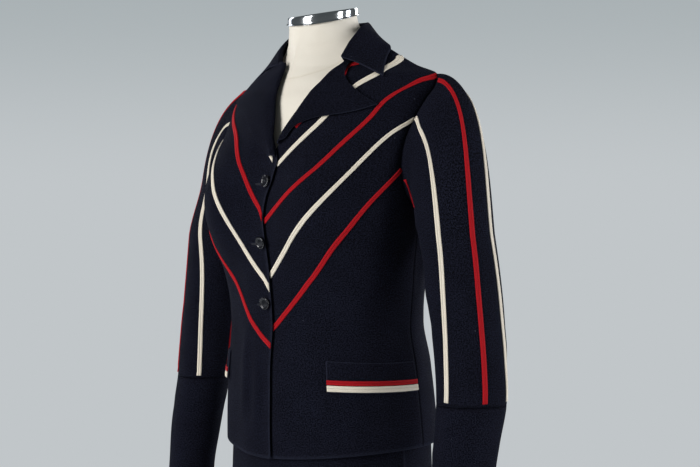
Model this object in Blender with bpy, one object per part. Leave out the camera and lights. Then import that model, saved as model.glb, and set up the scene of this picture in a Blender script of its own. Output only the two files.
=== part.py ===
"""Knitted two-piece suit, jacket over skirt, on a limbless dress form with a stand.

Metres in the scene; the tables below are in centimetres.
The front faces -Y and the wearer's left is +X.
One closed surface, body(), gives the form; the jacket and the skirt are that surface moved out by an ease,
cut along seams into the pieces that would be cut and sewn.
"""
import math

import bpy
import numpy as np

for old in list(bpy.data.objects):
    bpy.data.objects.remove(old, do_unlink=True)

# Driving sizes, centimetres
CLOTH = 0.22
SEAM = 0.04
BRAID_WIDE = 0.72
BRAID_THICK = 0.11
BRAID_LIFT = 0.08
BUTTON_RADIUS = 0.88
FORM_INSET = 0.04
OVERLAP_RAISE = 0.38
SLUMP = 1.6
HEAD_FLAT = 0.9
BASE_RADIUS = 18.0
POLE_RADIUS = 1.3
CUFF_LEVEL = 96.8
SLEEVE_END = 80.0
SHOULDER = 140.7
UNDERARM = 123.2

# The form: level, half width, front y, side y, back y, squareness, lean
BODY = np.array([
    [34.0, 17.2, -12.2, 0.5, 14.0, 2.0, 0.00],
    [60.0, 16.4, -11.8, 0.6, 13.8, 2.0, 0.00],
    [76.0, 15.9, -11.3, 0.8, 13.8, 2.0, 0.00],
    [88.0, 15.4, -11.2, 0.9, 13.8, 2.0, 0.00],
    [100.0, 13.5, -10.2, 0.4, 12.0, 2.0, 0.00],
    [106.5, 12.2, -8.9, -0.2, 9.8, 2.0, 0.00],
    [113.0, 13.5, -9.6, -0.2, 9.9, 2.1, 0.00],
    [121.5, 16.0, -10.8, 0.1, 10.2, 2.3, 0.00],
    [128.0, 17.1, -10.6, 0.7, 10.6, 2.3, 0.00],
    [134.0, 17.7, -9.6, 1.6, 10.4, 2.0, 0.00],
    [138.0, 18.4, -8.6, 2.2, 9.9, 1.7, 0.02],
    [139.6, 18.9, -7.9, 2.5, 9.4, 1.5, 0.04],
    [140.7, 18.65, -7.4, 2.6, 9.2, 1.4, 0.05],
    [141.95, 15.3, -6.9, 2.4, 8.8, 1.25, 0.07],
    [143.15, 12.9, -6.5, 2.2, 8.2, 1.15, 0.10],
    [144.7, 10.2, -6.1, 1.6, 7.2, 1.15, 0.13],
    [145.9, 7.6, -5.8, 0.8, 6.2, 1.30, 0.16],
    [146.8, 5.9, -5.6, 0.3, 5.4, 1.65, 0.19],
    [147.7, 5.1, -5.45, -0.1, 4.8, 1.90, 0.21],
    [148.7, 4.85, -5.35, -0.5, 4.35, 2.0, 0.22],
])
BUST_X, BUST_LEVEL, BUST_WIDE = 9.6, 123.3, 6.7
BUST_UP, BUST_DOWN, BUST_OUT = 7.5, 7.3, 3.9

# Level, ease of the jacket's outer face above the form
EASE = np.array([
    [86.0, 0.95], [94.0, 1.6], [100.0, 2.2], [106.5, 2.9], [113.0, 2.3], [121.5, 1.3],
    [128.0, 0.9], [134.0, 0.62], [138.0, 0.46], [141.0, 0.38], [146.0, 0.32],
])

# Armhole seam: turn round it from the underarm, angle on the body, level
ARMHOLE = np.array([
    [0, 92, 123.2], [20, 84, 124.5], [45, 78, 127.4], [70, 75, 130.9], [90, 76, 133.3], [110, 79, 135.8],
    [135, 83, 138.2], [160, 87.2, 140.1], [180, 90, 140.7], [200, 94, 140.0], [225, 101, 138.0],
    [250, 108, 135.3], [270, 112, 132.5], [295, 113, 129.3], [320, 108, 126.2], [340, 100, 124.2],
    [360, 92, 123.2],
])
AROUND = 22

# Sleeve below the head: level, centre x, centre y, half length of the long axis and of the short one
SLEEVE = np.array([
    [80.0, 27.3, -2.1, 4.0, 3.5],
    [82.0, 27.3, -1.9, 4.05, 3.5],
    [87.6, 27.1, -1.2, 4.25, 3.75],
    [92.0, 27.0, -0.4, 4.45, 3.95],
    [96.8, 26.9, 0.55, 4.7, 4.1],
    [102.0, 26.4, 0.95, 4.85, 4.3],
    [115.0, 24.0, 1.4, 5.15, 4.75],
    [121.0, 22.75, 1.3, 5.2, 4.95],
])
HEAD_END = 119.5
SLEEVE_STEPS = [0, 0.07, 0.16, 0.27, 0.4, 0.55, 0.7, 0.85, 1.0, 1.17, 1.34, 1.51, 1.68, 1.85, 1.999]

# Front edges above the waist: level, x on the wearer's own side (negative is past the centre)
LEFT_EDGE = np.array([
    [86.0, -1.7], [126.0, -1.7], [128.6, 0.4], [130.6, 2.4], [132.2, 2.9], [134.8, 4.1], [137.8, 5.6],
    [140.8, 7.0], [142.5, 7.8], [145.2, 8.7],
])
RIGHT_EDGE = np.array([
    [86.0, -1.7], [104.0, -1.5], [113.0, -1.4], [118.0, -1.6], [121.0, -1.65], [124.0, -2.3], [126.4, -3.3],
    [128.6, -3.4], [130.4, -2.2], [133.0, -0.6],
    [136.0, 0.4], [138.0, 1.1], [140.5, 2.3], [142.4, 4.4], [144.0, 7.2], [145.2, 8.7],
])

# Lapels, own side: x and level of the fold, x and level of the free edge
LEFT_LAPEL = np.array([
    [2.5, 131.3, 3.6, 131.9],
    [2.8, 132.6, 4.3, 133.3],
    [3.3, 133.7, 5.6, 134.1],
    [3.8, 134.7, 7.3, 134.7],
    [4.3, 135.6, 9.0, 135.0],
    [4.7, 136.5, 10.7, 135.3],
    [5.1, 137.4, 12.5, 135.8],
    [5.5, 138.3, 14.3, 136.6],
    [5.9, 139.3, 12.8, 137.9],
    [6.3, 140.3, 11.2, 139.2],
    [6.7, 141.3, 9.7, 140.6],
    [7.1, 142.2, 8.5, 141.9],
])
RIGHT_LAPEL = np.array([
    [-2.85, 129.5, -1.4, 129.9],
    [-2.0, 130.75, 0.6, 131.0],
    [-1.3, 132.0, 2.5, 132.35],
    [-0.9, 133.3, 4.2, 133.75],
    [-0.55, 134.6, 5.8, 135.0],
    [-0.1, 135.9, 7.7, 136.2],
    [0.3, 137.2, 10.2, 137.4],
    [0.6, 138.4, 13.5, 138.8],
    [0.9, 139.3, 12.2, 139.5],
    [1.2, 140.1, 10.8, 140.1],
    [1.5, 140.9, 9.4, 140.6],
    [1.9, 141.7, 8.2, 141.0],
])
# Across a lapel: share of its width, plus centimetres, height above the jacket
LAPEL_ROLL = np.array([
    [0.0, 0.02, 0.07], [0.0, -0.24, 0.36], [0.0, 0.02, 0.72], [0.16, 0.05, 0.82], [0.32, 0.0, 0.78],
    [0.48, 0.0, 0.71], [0.62, 0.0, 0.65], [0.75, 0.0, 0.60], [0.88, 0.0, 0.56], [1.0, 0.0, 0.53],
])

# Collar, from the back of the neck to an end: angle and level of the free edge, the top of the fold
# in x, y, z, angle and level of the foot of the stand
COLLAR_LEFT = np.array([
    [180, 144.3, 0.0, 5.9, 148.8, 180, 146.4],
    [158, 144.3, 2.6, 5.4, 148.8, 154, 146.4],
    [136, 144.5, 4.5, 4.0, 148.7, 130, 146.5],
    [116, 144.7, 5.8, 2.2, 148.4, 108, 146.6],
    [100, 144.6, 6.5, 0.5, 147.8, 88, 146.5],
    [85, 144.2, 6.9, -1.0, 146.8, 68, 146.0],
    [71, 143.4, 7.2, -2.3, 145.7, 53, 145.0],
    [61, 142.3, 7.4, -3.1, 144.8, 47, 144.1],
    [54, 141.2, 7.5, -3.7, 144.0, 43, 143.3],
])
COLLAR_RIGHT = np.array([
    [180, 144.3, 0.0, 5.9, 148.8, 180, 146.4],
    [158, 144.3, 2.6, 5.4, 148.7, 154, 146.4],
    [136, 144.5, 4.4, 4.0, 148.5, 130, 146.4],
    [116, 144.7, 5.6, 2.4, 148.1, 108, 146.5],
    [98, 144.5, 6.1, 0.6, 147.5, 88, 146.4],
    [82, 144.1, 6.2, -1.0, 146.8, 66, 146.0],
    [68, 143.5, 5.8, -2.5, 145.9, 48, 145.2],
    [58, 142.7, 5.0, -3.8, 144.9, 38, 144.5],
    [50, 141.9, 4.1, -4.8, 144.0, 29, 143.7],
])

# Braid on the fronts, own side: angle and level of the middle line
SHOULDER_BAND = [[54, 141.3], [75, 142.75], [89, 143.4]]
LEFT_BRAIDS = {
    "red_top": [[14, 133.6], [24, 136.8], [32, 139.6], [39, 141.7], [44, 142.8]],
    "cream_top": [[2, 126.8], [9, 128.6], [18, 131.4], [28, 134.6], [36, 137.8], [43, 139.9]] + SHOULDER_BAND,
    "red_mid": [
        [0, 119.6], [8, 121.4], [20, 124.1], [31, 127.4], [41, 131.2], [51, 134.7], [58, 137.6],
        [71, 139.9], [88.5, 140.6],
    ],
    "cream_low": [
        [0, 112.2], [4, 113.6], [12, 116.2], [22, 118.9], [32, 121.6], [41, 124.5], [53, 129.1],
        [65, 132.8], [80, 135.3],
    ],
    "red_low": [
        [0, 103.8], [6, 105.7], [13, 108.0], [22, 110.9], [31, 113.8], [44, 118.0], [54, 120.9],
        [64, 124.3], [78, 128.5],
    ],
}
RIGHT_BRAIDS = {
    "red_top": [[12, 137.0], [20, 138.6], [28, 140.4], [37, 142.2], [44, 143.1]],
    "cream_top": [[-10, 128.2], [-4, 129.6], [2, 131.9], [10, 134.9], [20, 137.5], [36, 139.8]] + SHOULDER_BAND,
    "red_mid": [
        [-10, 120.2], [-6, 121.3], [3, 124.5], [10, 128.0], [20.5, 132.4], [34, 135.0], [46, 136.7],
        [58, 138.4], [72, 139.9], [88.5, 140.6],
    ],
    "cream_low": [
        [-8, 110.8], [-2.5, 112.5], [7, 116.2], [17, 120.8], [23, 123.8], [29, 126.8], [38, 129.8],
        [50, 131.9], [65, 133.9], [80, 135.3],
    ],
    "red_low": [
        [-12, 101.8], [-8, 102.6], [2, 104.4], [11, 107.2], [19.5, 110.3], [29, 113.6], [43, 117.8],
        [54, 120.9], [64, 124.3], [78, 128.5],
    ],
}
# Braid on the sleeves: turn round the sleeve at the head (0), underarm level (1) and the cuff seam (2)
SLEEVE_BRAIDS = {
    "red_inner": [50, 44, 30, 26],
    "cream_front": [106, 106, 97, 86],
    "red_top": [176, 158, 150, 153],
    "cream_back": [220, 200, 198, 203],
}
SLEEVE_TURN = {1: 0.0, -1: -23.0}

FLAP = {"from": 39.5, "to": 95.0, "top": 101.4, "bottom": 97.45, "drop": 0.5}
BUTTON_LEVELS = [126.1, 118.55, 110.0]
BUTTON_X = [2.3, 1.0, 0.65]

SKIRT_HEM, SKIRT_TOP = 34.0, 106.3
FACETS = {}

COLOURS = {
    "navy": "#1f2436", "cream": "#d9d2bd", "red": "#7c2f33", "jersey": "#e4ddd0", "chrome": "#c9ccd0",
    "steel": "#8d9196", "black": "#24262a", "button": "#14161f",
}


def curve(table, column, at):
    """Monotone cubic through one column of a table, by its first column."""
    x = table[:, 0]
    y = table[:, column]
    at = np.clip(at, x[0], x[-1])
    step = np.diff(x)
    slope = np.diff(y) / step
    tangent = np.zeros_like(y)
    for i in range(1, len(x) - 1):
        if slope[i - 1] * slope[i] > 0:
            a = 2 * step[i] + step[i - 1]
            b = step[i] + 2 * step[i - 1]
            tangent[i] = (a + b) / (a / slope[i - 1] + b / slope[i])
    tangent[0] = slope[0]
    tangent[-1] = slope[-1]
    k = np.clip(np.searchsorted(x, at, side="right") - 1, 0, len(x) - 2)
    t = (at - x[k]) / step[k]
    rise = (2 * t**3 - 3 * t**2 + 1) * y[k] + (3 * t**2 - 2 * t**3) * y[k + 1]
    return rise + step[k] * ((t**3 - 2 * t**2 + t) * tangent[k] + (t**3 - t**2) * tangent[k + 1])


def smooth(points, count):
    """Points spaced evenly along a smooth line through the given ones."""
    points = np.asarray(points, float)
    ends = np.vstack([2 * points[0] - points[1], points, 2 * points[-1] - points[-2]])
    fine = []
    for i in range(1, len(ends) - 2):
        a, b, c, d = ends[i - 1 : i + 3]
        for t in np.linspace(0, 1, 24, endpoint=False):
            square = (2 * a - 5 * b + 4 * c - d) * t**2
            cube = (3 * b - a - 3 * c + d) * t**3
            fine.append(0.5 * (2 * b + (c - a) * t + square + cube))
    fine = np.array(fine + [points[-1]])
    along = np.concatenate([[0], np.cumsum(np.linalg.norm(np.diff(fine, axis=0), axis=1))])
    at = np.linspace(0, along[-1], count)
    return np.stack([np.interp(at, along, fine[:, k]) for k in range(fine.shape[1])], -1)


def ramp(value, low, high):
    """0 at low, 1 at high, smooth between."""
    t = np.clip((np.asarray(value, float) - low) / (high - low), 0, 1)
    return t * t * (3 - 2 * t)


def body(angle, level):
    """A point of the form: angle 0 at centre front, a quarter turn at the wearer's left."""
    angle, level = np.broadcast_arrays(np.asarray(angle, float), np.asarray(level, float))
    wide, front, side, back, square, lean = (curve(BODY, k, level) for k in range(1, 7))
    sine, cosine = np.sin(angle), np.cos(angle)
    x = wide * np.sign(sine) * np.abs(sine) ** (2 / square)
    depth = np.where(cosine > 0, side - front, back - side)
    y = side - np.sign(cosine) * depth * np.abs(cosine) ** (2 / square)
    high = np.where(level > BUST_LEVEL, BUST_UP, BUST_DOWN)
    rise = ((level - BUST_LEVEL) / high) ** 2
    bump = sum(np.exp(-(((x - k * BUST_X) / BUST_WIDE) ** 2) - rise) for k in (-1, 1))
    y = y - BUST_OUT * bump * np.sqrt(np.clip(cosine, 0, 1))
    return np.stack([x, y, level + (y - side) * lean], -1)


def normal(angle, level):
    """Outward direction of the body."""
    across = body(np.asarray(angle) + 0.03, level) - body(np.asarray(angle) - 0.03, level)
    upward = body(angle, np.asarray(level) + 0.15) - body(angle, np.asarray(level) - 0.15)
    way = np.cross(across, upward)
    return way / np.linalg.norm(way, axis=-1, keepdims=True)


def angle_at(x, level):
    """Angle where the front of the body has this x."""
    share = np.clip(np.abs(x) / curve(BODY, 1, level), 0, 1)
    return np.sign(x) * np.arcsin(share ** (curve(BODY, 5, level) / 2))


def front_height(side, angle, level):
    """Height of a front's outer face above the form; the right front laps over the left one."""
    height = curve(EASE, 1, np.asarray(level, float))
    if side < 0:
        own = -body(angle, level)[..., 0]
        height = height + OVERLAP_RAISE * (1 - ramp(own, 2.3, 6.5)) * (1 - ramp(level, 131, 137))
    return height


def on_front(side, own_angle, level, more=0.0):
    """A point on a front, moved out by more."""
    angle = side * np.asarray(own_angle, float)
    height = front_height(side, angle, level) + more
    return body(angle, level) + normal(angle, level) * np.asarray(height)[..., None]


def ring_curve(column, turn):
    """The armhole's angle or level by the turn round it."""
    x = ARMHOLE[:, 0]
    y = ARMHOLE[:, column]
    turn = np.asarray(turn, float) % 360
    k = np.clip(np.searchsorted(x, turn, side="right") - 1, 0, len(x) - 2)
    t = (turn - x[k]) / (x[k + 1] - x[k])
    last = len(x) - 1
    before = np.where(k == 0, last - 1, k - 1)
    after = np.where(k + 2 > last, 1, np.minimum(k + 2, last))
    span = x[k + 1] - x[k]
    gap_before = np.where(k == 0, x[last] - x[last - 1], x[k] - x[np.maximum(k - 1, 0)])
    gap_after = np.where(k + 2 > last, x[1] - x[0], x[np.minimum(k + 2, last)] - x[k + 1])
    slope_a = (y[k + 1] - y[before]) / (span + gap_before)
    slope_b = (y[after] - y[k]) / (span + gap_after)
    rise = (2 * t**3 - 3 * t**2 + 1) * y[k] + (3 * t**2 - 2 * t**3) * y[k + 1]
    return rise + span * ((t**3 - 2 * t**2 + t) * slope_a + (t**3 - t**2) * slope_b)


def above_facets(side, own, level, point, out):
    """How far the front's flat facets stand above a point of the smooth surface."""
    levels, angles, grid = FACETS[side]
    row = int(np.clip(np.searchsorted(levels, level, side="right") - 1, 0, len(levels) - 2))
    t = float(np.clip((level - levels[row]) / (levels[row + 1] - levels[row]), 0, 1))
    count = np.arange(grid.shape[1])
    place = (1 - t) * np.interp(own, angles[row], count) + t * np.interp(own, angles[row + 1], count)
    line = (1 - t) * grid[row] + t * grid[row + 1]
    on_grid = np.array([np.interp(place, count, line[:, k]) for k in range(3)])
    return max(0.0, float(np.dot(on_grid - point, out)))


def mirror(points, side):
    """Own-side points to the wearer's left (1) or right (-1)."""
    return points * np.array([side, 1, 1])


def armhole(turn, inward):
    """A point of the armhole seam, moved towards the middle of the hole by inward."""
    angle = np.radians(ring_curve(1, turn))
    level = ring_curve(2, turn)
    way = np.stack([17.5 * (math.radians(94) - angle), 132.0 - level], -1)
    way = way / np.linalg.norm(way, axis=-1, keepdims=True) * inward
    angle = angle + way[..., 0] / 17.5
    level = level + way[..., 1]
    point = body(angle, level) + normal(angle, level) * curve(EASE, 1, level)[..., None]
    return point + np.array([inward * 0.6, 0, 0])


def sleeve_ring(turn, level):
    """A point of the sleeve's oval section."""
    level = np.asarray(level, float)
    x, y, long_half, short_half = (curve(SLEEVE, k, level) for k in range(1, 5))
    spin = np.radians(225 - np.asarray(turn, float))
    along = np.array([1, 1]) / math.sqrt(2)
    across = np.array([1, -1]) / math.sqrt(2)
    px = x + along[0] * long_half * np.cos(spin) + across[0] * short_half * np.sin(spin)
    py = y + along[1] * long_half * np.cos(spin) + across[1] * short_half * np.sin(spin)
    return np.stack([px, py, level + 0 * px], -1)


def sleeve(turn, along):
    """Own-side sleeve point: 0 armhole, 1 end of the head, 2 the seam under the stripes, 3 the end."""
    turn, along = np.broadcast_arrays(np.asarray(turn, float), np.asarray(along, float))
    start = armhole(turn, 0.07)
    end = sleeve_ring(turn, HEAD_END + 0 * turn)
    t = np.clip(along, 0, 1)
    span = end - start
    out = span * np.array([2.3, 2.3, 0.0])
    crown = np.clip(-np.cos(np.radians(turn)), 0, 1) ** 2
    out = out + crown[..., None] * np.array([0.5, 0.5, 1.5])
    down = span * np.array([0.0, 0.0, 1.6])
    down[..., 0] = 1.5
    t = t[..., None]
    head = (2 * t**3 - 3 * t**2 + 1) * start + (3 * t**2 - 2 * t**3) * end
    head = head + (t**3 - 2 * t**2 + t) * out + (t**3 - t**2) * down
    upper = HEAD_END + (CUFF_LEVEL - HEAD_END) * (along - 1)
    lower = CUFF_LEVEL + (SLEEVE_END - CUFF_LEVEL) * (along - 2)
    level = np.where(along < 2, upper, lower)
    tube = sleeve_ring(turn, np.minimum(level, HEAD_END))
    return np.where(along[..., None] <= 1, head, tube)


def sleeve_normal(turn, along):
    """Outward direction of the own-side sleeve."""
    turn, along = np.broadcast_arrays(np.asarray(turn, float), np.asarray(along, float))
    low = np.clip(along - 0.02, 0, 3)
    round_it = sleeve(turn + 3, along) - sleeve(turn - 3, along)
    down = sleeve(turn, np.clip(along + 0.02, 0, 3)) - sleeve(turn, low)
    way = np.cross(round_it, down)
    way = way / np.linalg.norm(way, axis=-1, keepdims=True)
    ring = sleeve_ring(turn, 110.0) - sleeve_ring(turn + 180, 110.0)
    facing = np.sign((way * ring).sum(-1, keepdims=True))
    return way * np.where(along[..., None] >= 1, facing, -1.0 if SLEEVE_FLIP else 1.0)


SLEEVE_FLIP = False
probe = sleeve_normal(np.array([180.0]), np.array([0.5]))[0]
SLEEVE_FLIP = bool(probe[0] < 0)


def grid_normals(grid):
    """Normals of an open grid of points from its neighbours."""
    rows = np.gradient(grid, axis=0)
    columns = np.gradient(grid, axis=1)
    way = np.cross(rows, columns)
    return way / np.maximum(np.linalg.norm(way, axis=-1, keepdims=True), 1e-9)


def settle(points):
    """The wearer's right shoulder sits lower than the left, and its sleeve head flatter."""
    points = np.array(points, float)
    flat = ramp(-points[:, 0], 18.8, 22.5) * ramp(points[:, 2], 117.0, 126.0)
    points[:, 2] -= SLUMP * ramp(-points[:, 0], 5.0, 15.0) * ramp(points[:, 2], 125.0, 141.0)
    points[:, 0] += HEAD_FLAT * flat
    points[:, 1] += 0.8 * HEAD_FLAT * flat
    return points


def finish(name, points, faces, colour, rough=0.9, metal=0.0, sharp=50):
    """One named object in metres with its own material and outward faces."""
    points = settle(points) * 0.01
    volume = 0.0
    for face in faces:
        a = points[face[0]]
        for k in range(1, len(face) - 1):
            volume += np.dot(a, np.cross(points[face[k]], points[face[k + 1]]))
    if volume < 0:
        faces = [tuple(reversed(face)) for face in faces]
    mesh = bpy.data.meshes.new(name)
    mesh.from_pydata([tuple(p) for p in points], [], [tuple(int(i) for i in face) for face in faces])
    mesh.polygons.foreach_set("use_smooth", [True] * len(mesh.polygons))
    mesh.set_sharp_from_angle(angle=math.radians(sharp))
    mesh.update()
    thing = bpy.data.objects.new(name, mesh)
    bpy.context.scene.collection.objects.link(thing)
    material = bpy.data.materials.new(name + "_look")
    material.use_nodes = True
    shader = material.node_tree.nodes["Principled BSDF"]
    code = COLOURS[colour].lstrip("#")
    rgb = [int(code[k : k + 2], 16) / 255 for k in (0, 2, 4)]
    linear = [c / 12.92 if c <= 0.04045 else ((c + 0.055) / 1.055) ** 2.4 for c in rgb]
    shader.inputs["Base Color"].default_value = (*linear, 1)
    shader.inputs["Roughness"].default_value = rough
    shader.inputs["Metallic"].default_value = metal
    material.diffuse_color = (*linear, 1)
    mesh.materials.append(material)
    return thing


def shell(name, outer, inner, colour, closed=False, **look):
    """A wall between two grids of points; closed joins the last column to the first."""
    rows, columns = outer.shape[:2]
    points = np.concatenate([outer.reshape(-1, 3), inner.reshape(-1, 3)])
    other = rows * columns
    faces = []
    last = columns if closed else columns - 1
    for i in range(rows - 1):
        for j in range(last):
            a, b = i * columns + j, i * columns + (j + 1) % columns
            c, d = b + columns, a + columns
            faces.append((a, b, c, d))
            faces.append((other + d, other + c, other + b, other + a))
    for j in range(last):
        a, b = j, (j + 1) % columns
        faces.append((b, a, other + a, other + b))
        a, b = (rows - 1) * columns + j, (rows - 1) * columns + (j + 1) % columns
        faces.append((a, b, other + b, other + a))
    if not closed:
        for i in range(rows - 1):
            a, d = i * columns, (i + 1) * columns
            faces.append((a, d, other + d, other + a))
            a, d = a + columns - 1, d + columns - 1
            faces.append((d, a, other + a, other + d))
    return finish(name, points, faces, colour, **look)


def even_angles(level, start, end, columns, height, trim):
    """Angles from start to end, evenly along the section at one level, with trim cut off both ends."""
    fine = np.linspace(start, end, 240)
    points = body(fine, level + 0 * fine) + normal(fine, level + 0 * fine) * height
    along = np.concatenate([[0], np.cumsum(np.linalg.norm(np.diff(points, axis=0), axis=1))])
    return np.interp(np.linspace(trim[0], along[-1] - trim[1], columns), along, fine)


def side_seam(level):
    """Angle of the side seam, which runs a little back below the armhole."""
    return math.radians(92 + 5.5 * ramp(-level, -UNDERARM, -111.0))


def hem_level(angle, level):
    """The hem dips a little at the front; rows above it follow less and less."""
    dip = 1.5 * np.abs(np.sin(np.clip(np.abs(angle), 0, math.pi / 2))) ** 1.5 - 0.1
    return level + dip * np.clip(1 - (level - 88.0) / 9, 0, 1)


def armhole_rows(front):
    """Angles and levels of the armhole at the sleeve's own points."""
    turns = np.arange(AROUND // 2 + 1) * 360 / AROUND
    turns = turns if front else (360 - turns)
    angles = np.radians(ring_curve(1, turns))
    levels = ring_curve(2, turns)
    return angles, levels


LOW_ROWS = [88.0, 91.5, 95.0, 98.5, 102.0, 105.0, 108.0, 111.0, 114.0, 117.2, 120.4]
HIGH_ROWS = [141.5, 142.4, 143.45, 144.7]


def front_panel(side, edge):
    """A front, from its edge to the side seam, armhole and shoulder seam."""
    hole_angles, hole_levels = armhole_rows(True)
    levels = LOW_ROWS + list(hole_levels) + HIGH_ROWS
    outer_angles = [side_seam(v) for v in LOW_ROWS] + list(hole_angles) + [math.pi / 2] * len(HIGH_ROWS)
    columns = 11
    outer, inner, own_angles = [], [], []
    for level, end in zip(levels, outer_angles):
        start = float(angle_at(float(curve(edge, 1, level)), level))
        height = float(curve(EASE, 1, level))
        own = even_angles(level, start, end, columns, height, (0.0, SEAM / 2))
        angle = side * own
        level_row = hem_level(angle, level + 0 * angle)
        out = normal(angle, level_row)
        high = front_height(side, angle, level_row)[..., None]
        base = body(angle, level_row)
        outer.append(base + out * high)
        inner.append(base + out * (high - CLOTH))
        own_angles.append(own)
    name = "front_left" if side > 0 else "front_right"
    FACETS[side] = (np.array(levels), np.array(own_angles), np.array(outer))
    return shell(name, np.array(outer), np.array(inner), "navy")


def back_panel():
    """The back in one piece, between the side seams, armholes and shoulder seams, up to the neck."""
    hole_angles, hole_levels = armhole_rows(False)
    levels = LOW_ROWS + list(hole_levels) + HIGH_ROWS
    edges = [side_seam(v) for v in LOW_ROWS] + list(hole_angles) + [math.pi / 2] * len(HIGH_ROWS)
    outer, inner = [], []
    for level, start in zip(levels, edges):
        height = float(curve(EASE, 1, level))
        half = even_angles(level, start, math.pi, 10, height, (SEAM / 2, 0.0))
        angle = np.concatenate([half, (2 * math.pi - half[:-1])[::-1]])
        level_row = hem_level(angle, level + 0 * angle)
        out = normal(angle, level_row)
        base = body(angle, level_row)
        outer.append(base + out * height)
        inner.append(base + out * (height - CLOTH))
    return shell("back", np.array(outer), np.array(inner), "navy")


def sleeve_pieces(side):
    """The sleeve down to the seam under the stripes, and the plain piece below it."""
    turns = np.arange(AROUND) * 360 / AROUND
    word = "left" if side > 0 else "right"
    for name, steps in (
        ("sleeve_" + word, SLEEVE_STEPS),
        ("sleeve_end_" + word, [2.002, 2.2, 2.4, 2.6, 2.8, 3.0]),
    ):
        turn, along = np.meshgrid(turns, np.array(steps, float))
        outer = sleeve(turn, along)
        inner = outer - sleeve_normal(turn, along) * CLOTH
        if steps[0] == 0:
            inner[0] = outer[0] - sleeve_normal(turns, 0.06 + 0 * turns) * CLOTH
        shell(name, mirror(outer, side), mirror(inner, side), "navy", closed=True)


def lapel(side, table, name):
    """A lapel folded back along its roll on to its front."""
    outer = []
    for fold_x, fold_level, free_x, free_level in table:
        wide = math.hypot(free_x - fold_x, free_level - fold_level)
        line = []
        for share, plus, height in LAPEL_ROLL:
            t = share + plus / wide * (1 - share)
            x = fold_x + (free_x - fold_x) * t
            level = fold_level + (free_level - fold_level) * t
            own = float(angle_at(x, level))
            line.append(on_front(side, own, level, height))
        outer.append(line)
    outer = np.array(outer)
    out = grid_normals(outer)
    middle = out[len(outer) // 2, 5]
    if middle[1] > 0:
        out = -out
    return shell(name, outer, outer - out * 0.2, "navy")


def collar():
    """Stand and fall in one, folded at the top, from one end round the neck to the other."""
    rows = []
    for sign, table in ((-1, COLLAR_RIGHT[::-1]), (1, COLLAR_LEFT[1:])):
        for turn, level, x, y, z, foot_turn, foot_level in table:
            angle = sign * math.radians(turn)
            free = body(angle, level) + normal(angle, level) * (float(curve(EASE, 1, level)) + 0.45)
            angle = sign * math.radians(foot_turn)
            foot = body(angle, foot_level) + normal(angle, foot_level) * 0.34
            top = np.array([sign * x, y, z])
            way = np.array([top[0], top[1] + 0.5, 0.0])
            way = way / np.linalg.norm(way)
            neck_side = foot * 0.25 + (top - way * 0.30) * 0.75 + np.array([0, 0, -0.1])
            fold_out = top + way * 0.40 + np.array([0, 0, -0.25])
            across = free - fold_out
            lift = np.array([0, 0, 0.32]) + way * 0.1
            upper = fold_out + across * 0.35 + lift
            lower = fold_out + across * 0.70 + lift * 0.6
            rows.append([foot, neck_side, top, fold_out, upper, lower, free])
    outer = np.array(rows)
    out = grid_normals(outer)
    if out[len(outer) // 2, 4, 2] < 0:
        out = -out
    return shell("collar", outer, outer - out * 0.2, "navy")


def braid_on(name, middle, out, colour, wide=BRAID_WIDE):
    """A flat braid along a line of points on a surface with its outward directions."""
    along = np.gradient(middle, axis=0)
    across = np.cross(out, along)
    across = across / np.linalg.norm(across, axis=1, keepdims=True) * (wide / 2)
    low = np.stack([middle - across, middle + across], 1)
    high = low + out[:, None, :] * BRAID_THICK
    return shell(name, high, low, colour)


def front_braids(side):
    """Braid sewn on a front, from its edge up to the armhole or the shoulder seam."""
    word = "left" if side > 0 else "right"
    hole_angles, hole_levels = armhole_rows(True)
    for key, table in (LEFT_BRAIDS if side > 0 else RIGHT_BRAIDS).items():
        fine = smooth(np.array(table, float) * np.array([0.25, 1.0]), 400) / np.array([0.25, 1.0])
        own = np.radians(fine[:, 0])
        level = fine[:, 1]
        x = side * body(side * own, level)[:, 0]
        least = curve(RIGHT_EDGE, 1, level) + 0.42
        if side > 0:
            beside = -curve(RIGHT_EDGE, 1, level) + 0.5
            least = np.where(level < 130.3, beside, curve(LEFT_EDGE, 1, level) + 0.5)
            least = least + 0.06 * ramp(level, 139.5, 140.5)
        lift_more = 0.065 * ramp(level, 139.8, 140.4) * (key == "red_top")
        most = np.interp(level, hole_levels, hole_angles) - 0.55 / 17.5
        most = np.where(level > SHOULDER - 0.6, math.pi / 2 - 0.055, most)
        most = np.where(level < UNDERARM, math.pi / 2, most)
        keep = (x >= least) & (own <= most)
        own, level = own[keep], level[keep]
        place = on_front(side, own, level)
        along = np.concatenate([[0], np.cumsum(np.linalg.norm(np.diff(place, axis=0), axis=1))])
        at = np.linspace(0, along[-1], max(5, int(along[-1] / 1.9) + 1))
        lift_more = np.interp(at, along, lift_more[keep])
        own, level = np.interp(at, along, own), np.interp(at, along, level)
        out = normal(side * own, level)
        place = on_front(side, own, level)
        over = np.array([above_facets(side, a, b, p, n) for a, b, p, n in zip(own, level, place, out)])
        over = np.maximum(over, np.maximum(np.append(over[1:], 0), np.append(0, over[:-1])) * 0.8)
        lift = BRAID_LIFT + over + 0.03 * (over > 0.01) + lift_more
        braid_on(f"braid_{key}_{word}", place + out * lift[:, None], out, key.split("_")[0])


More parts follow.
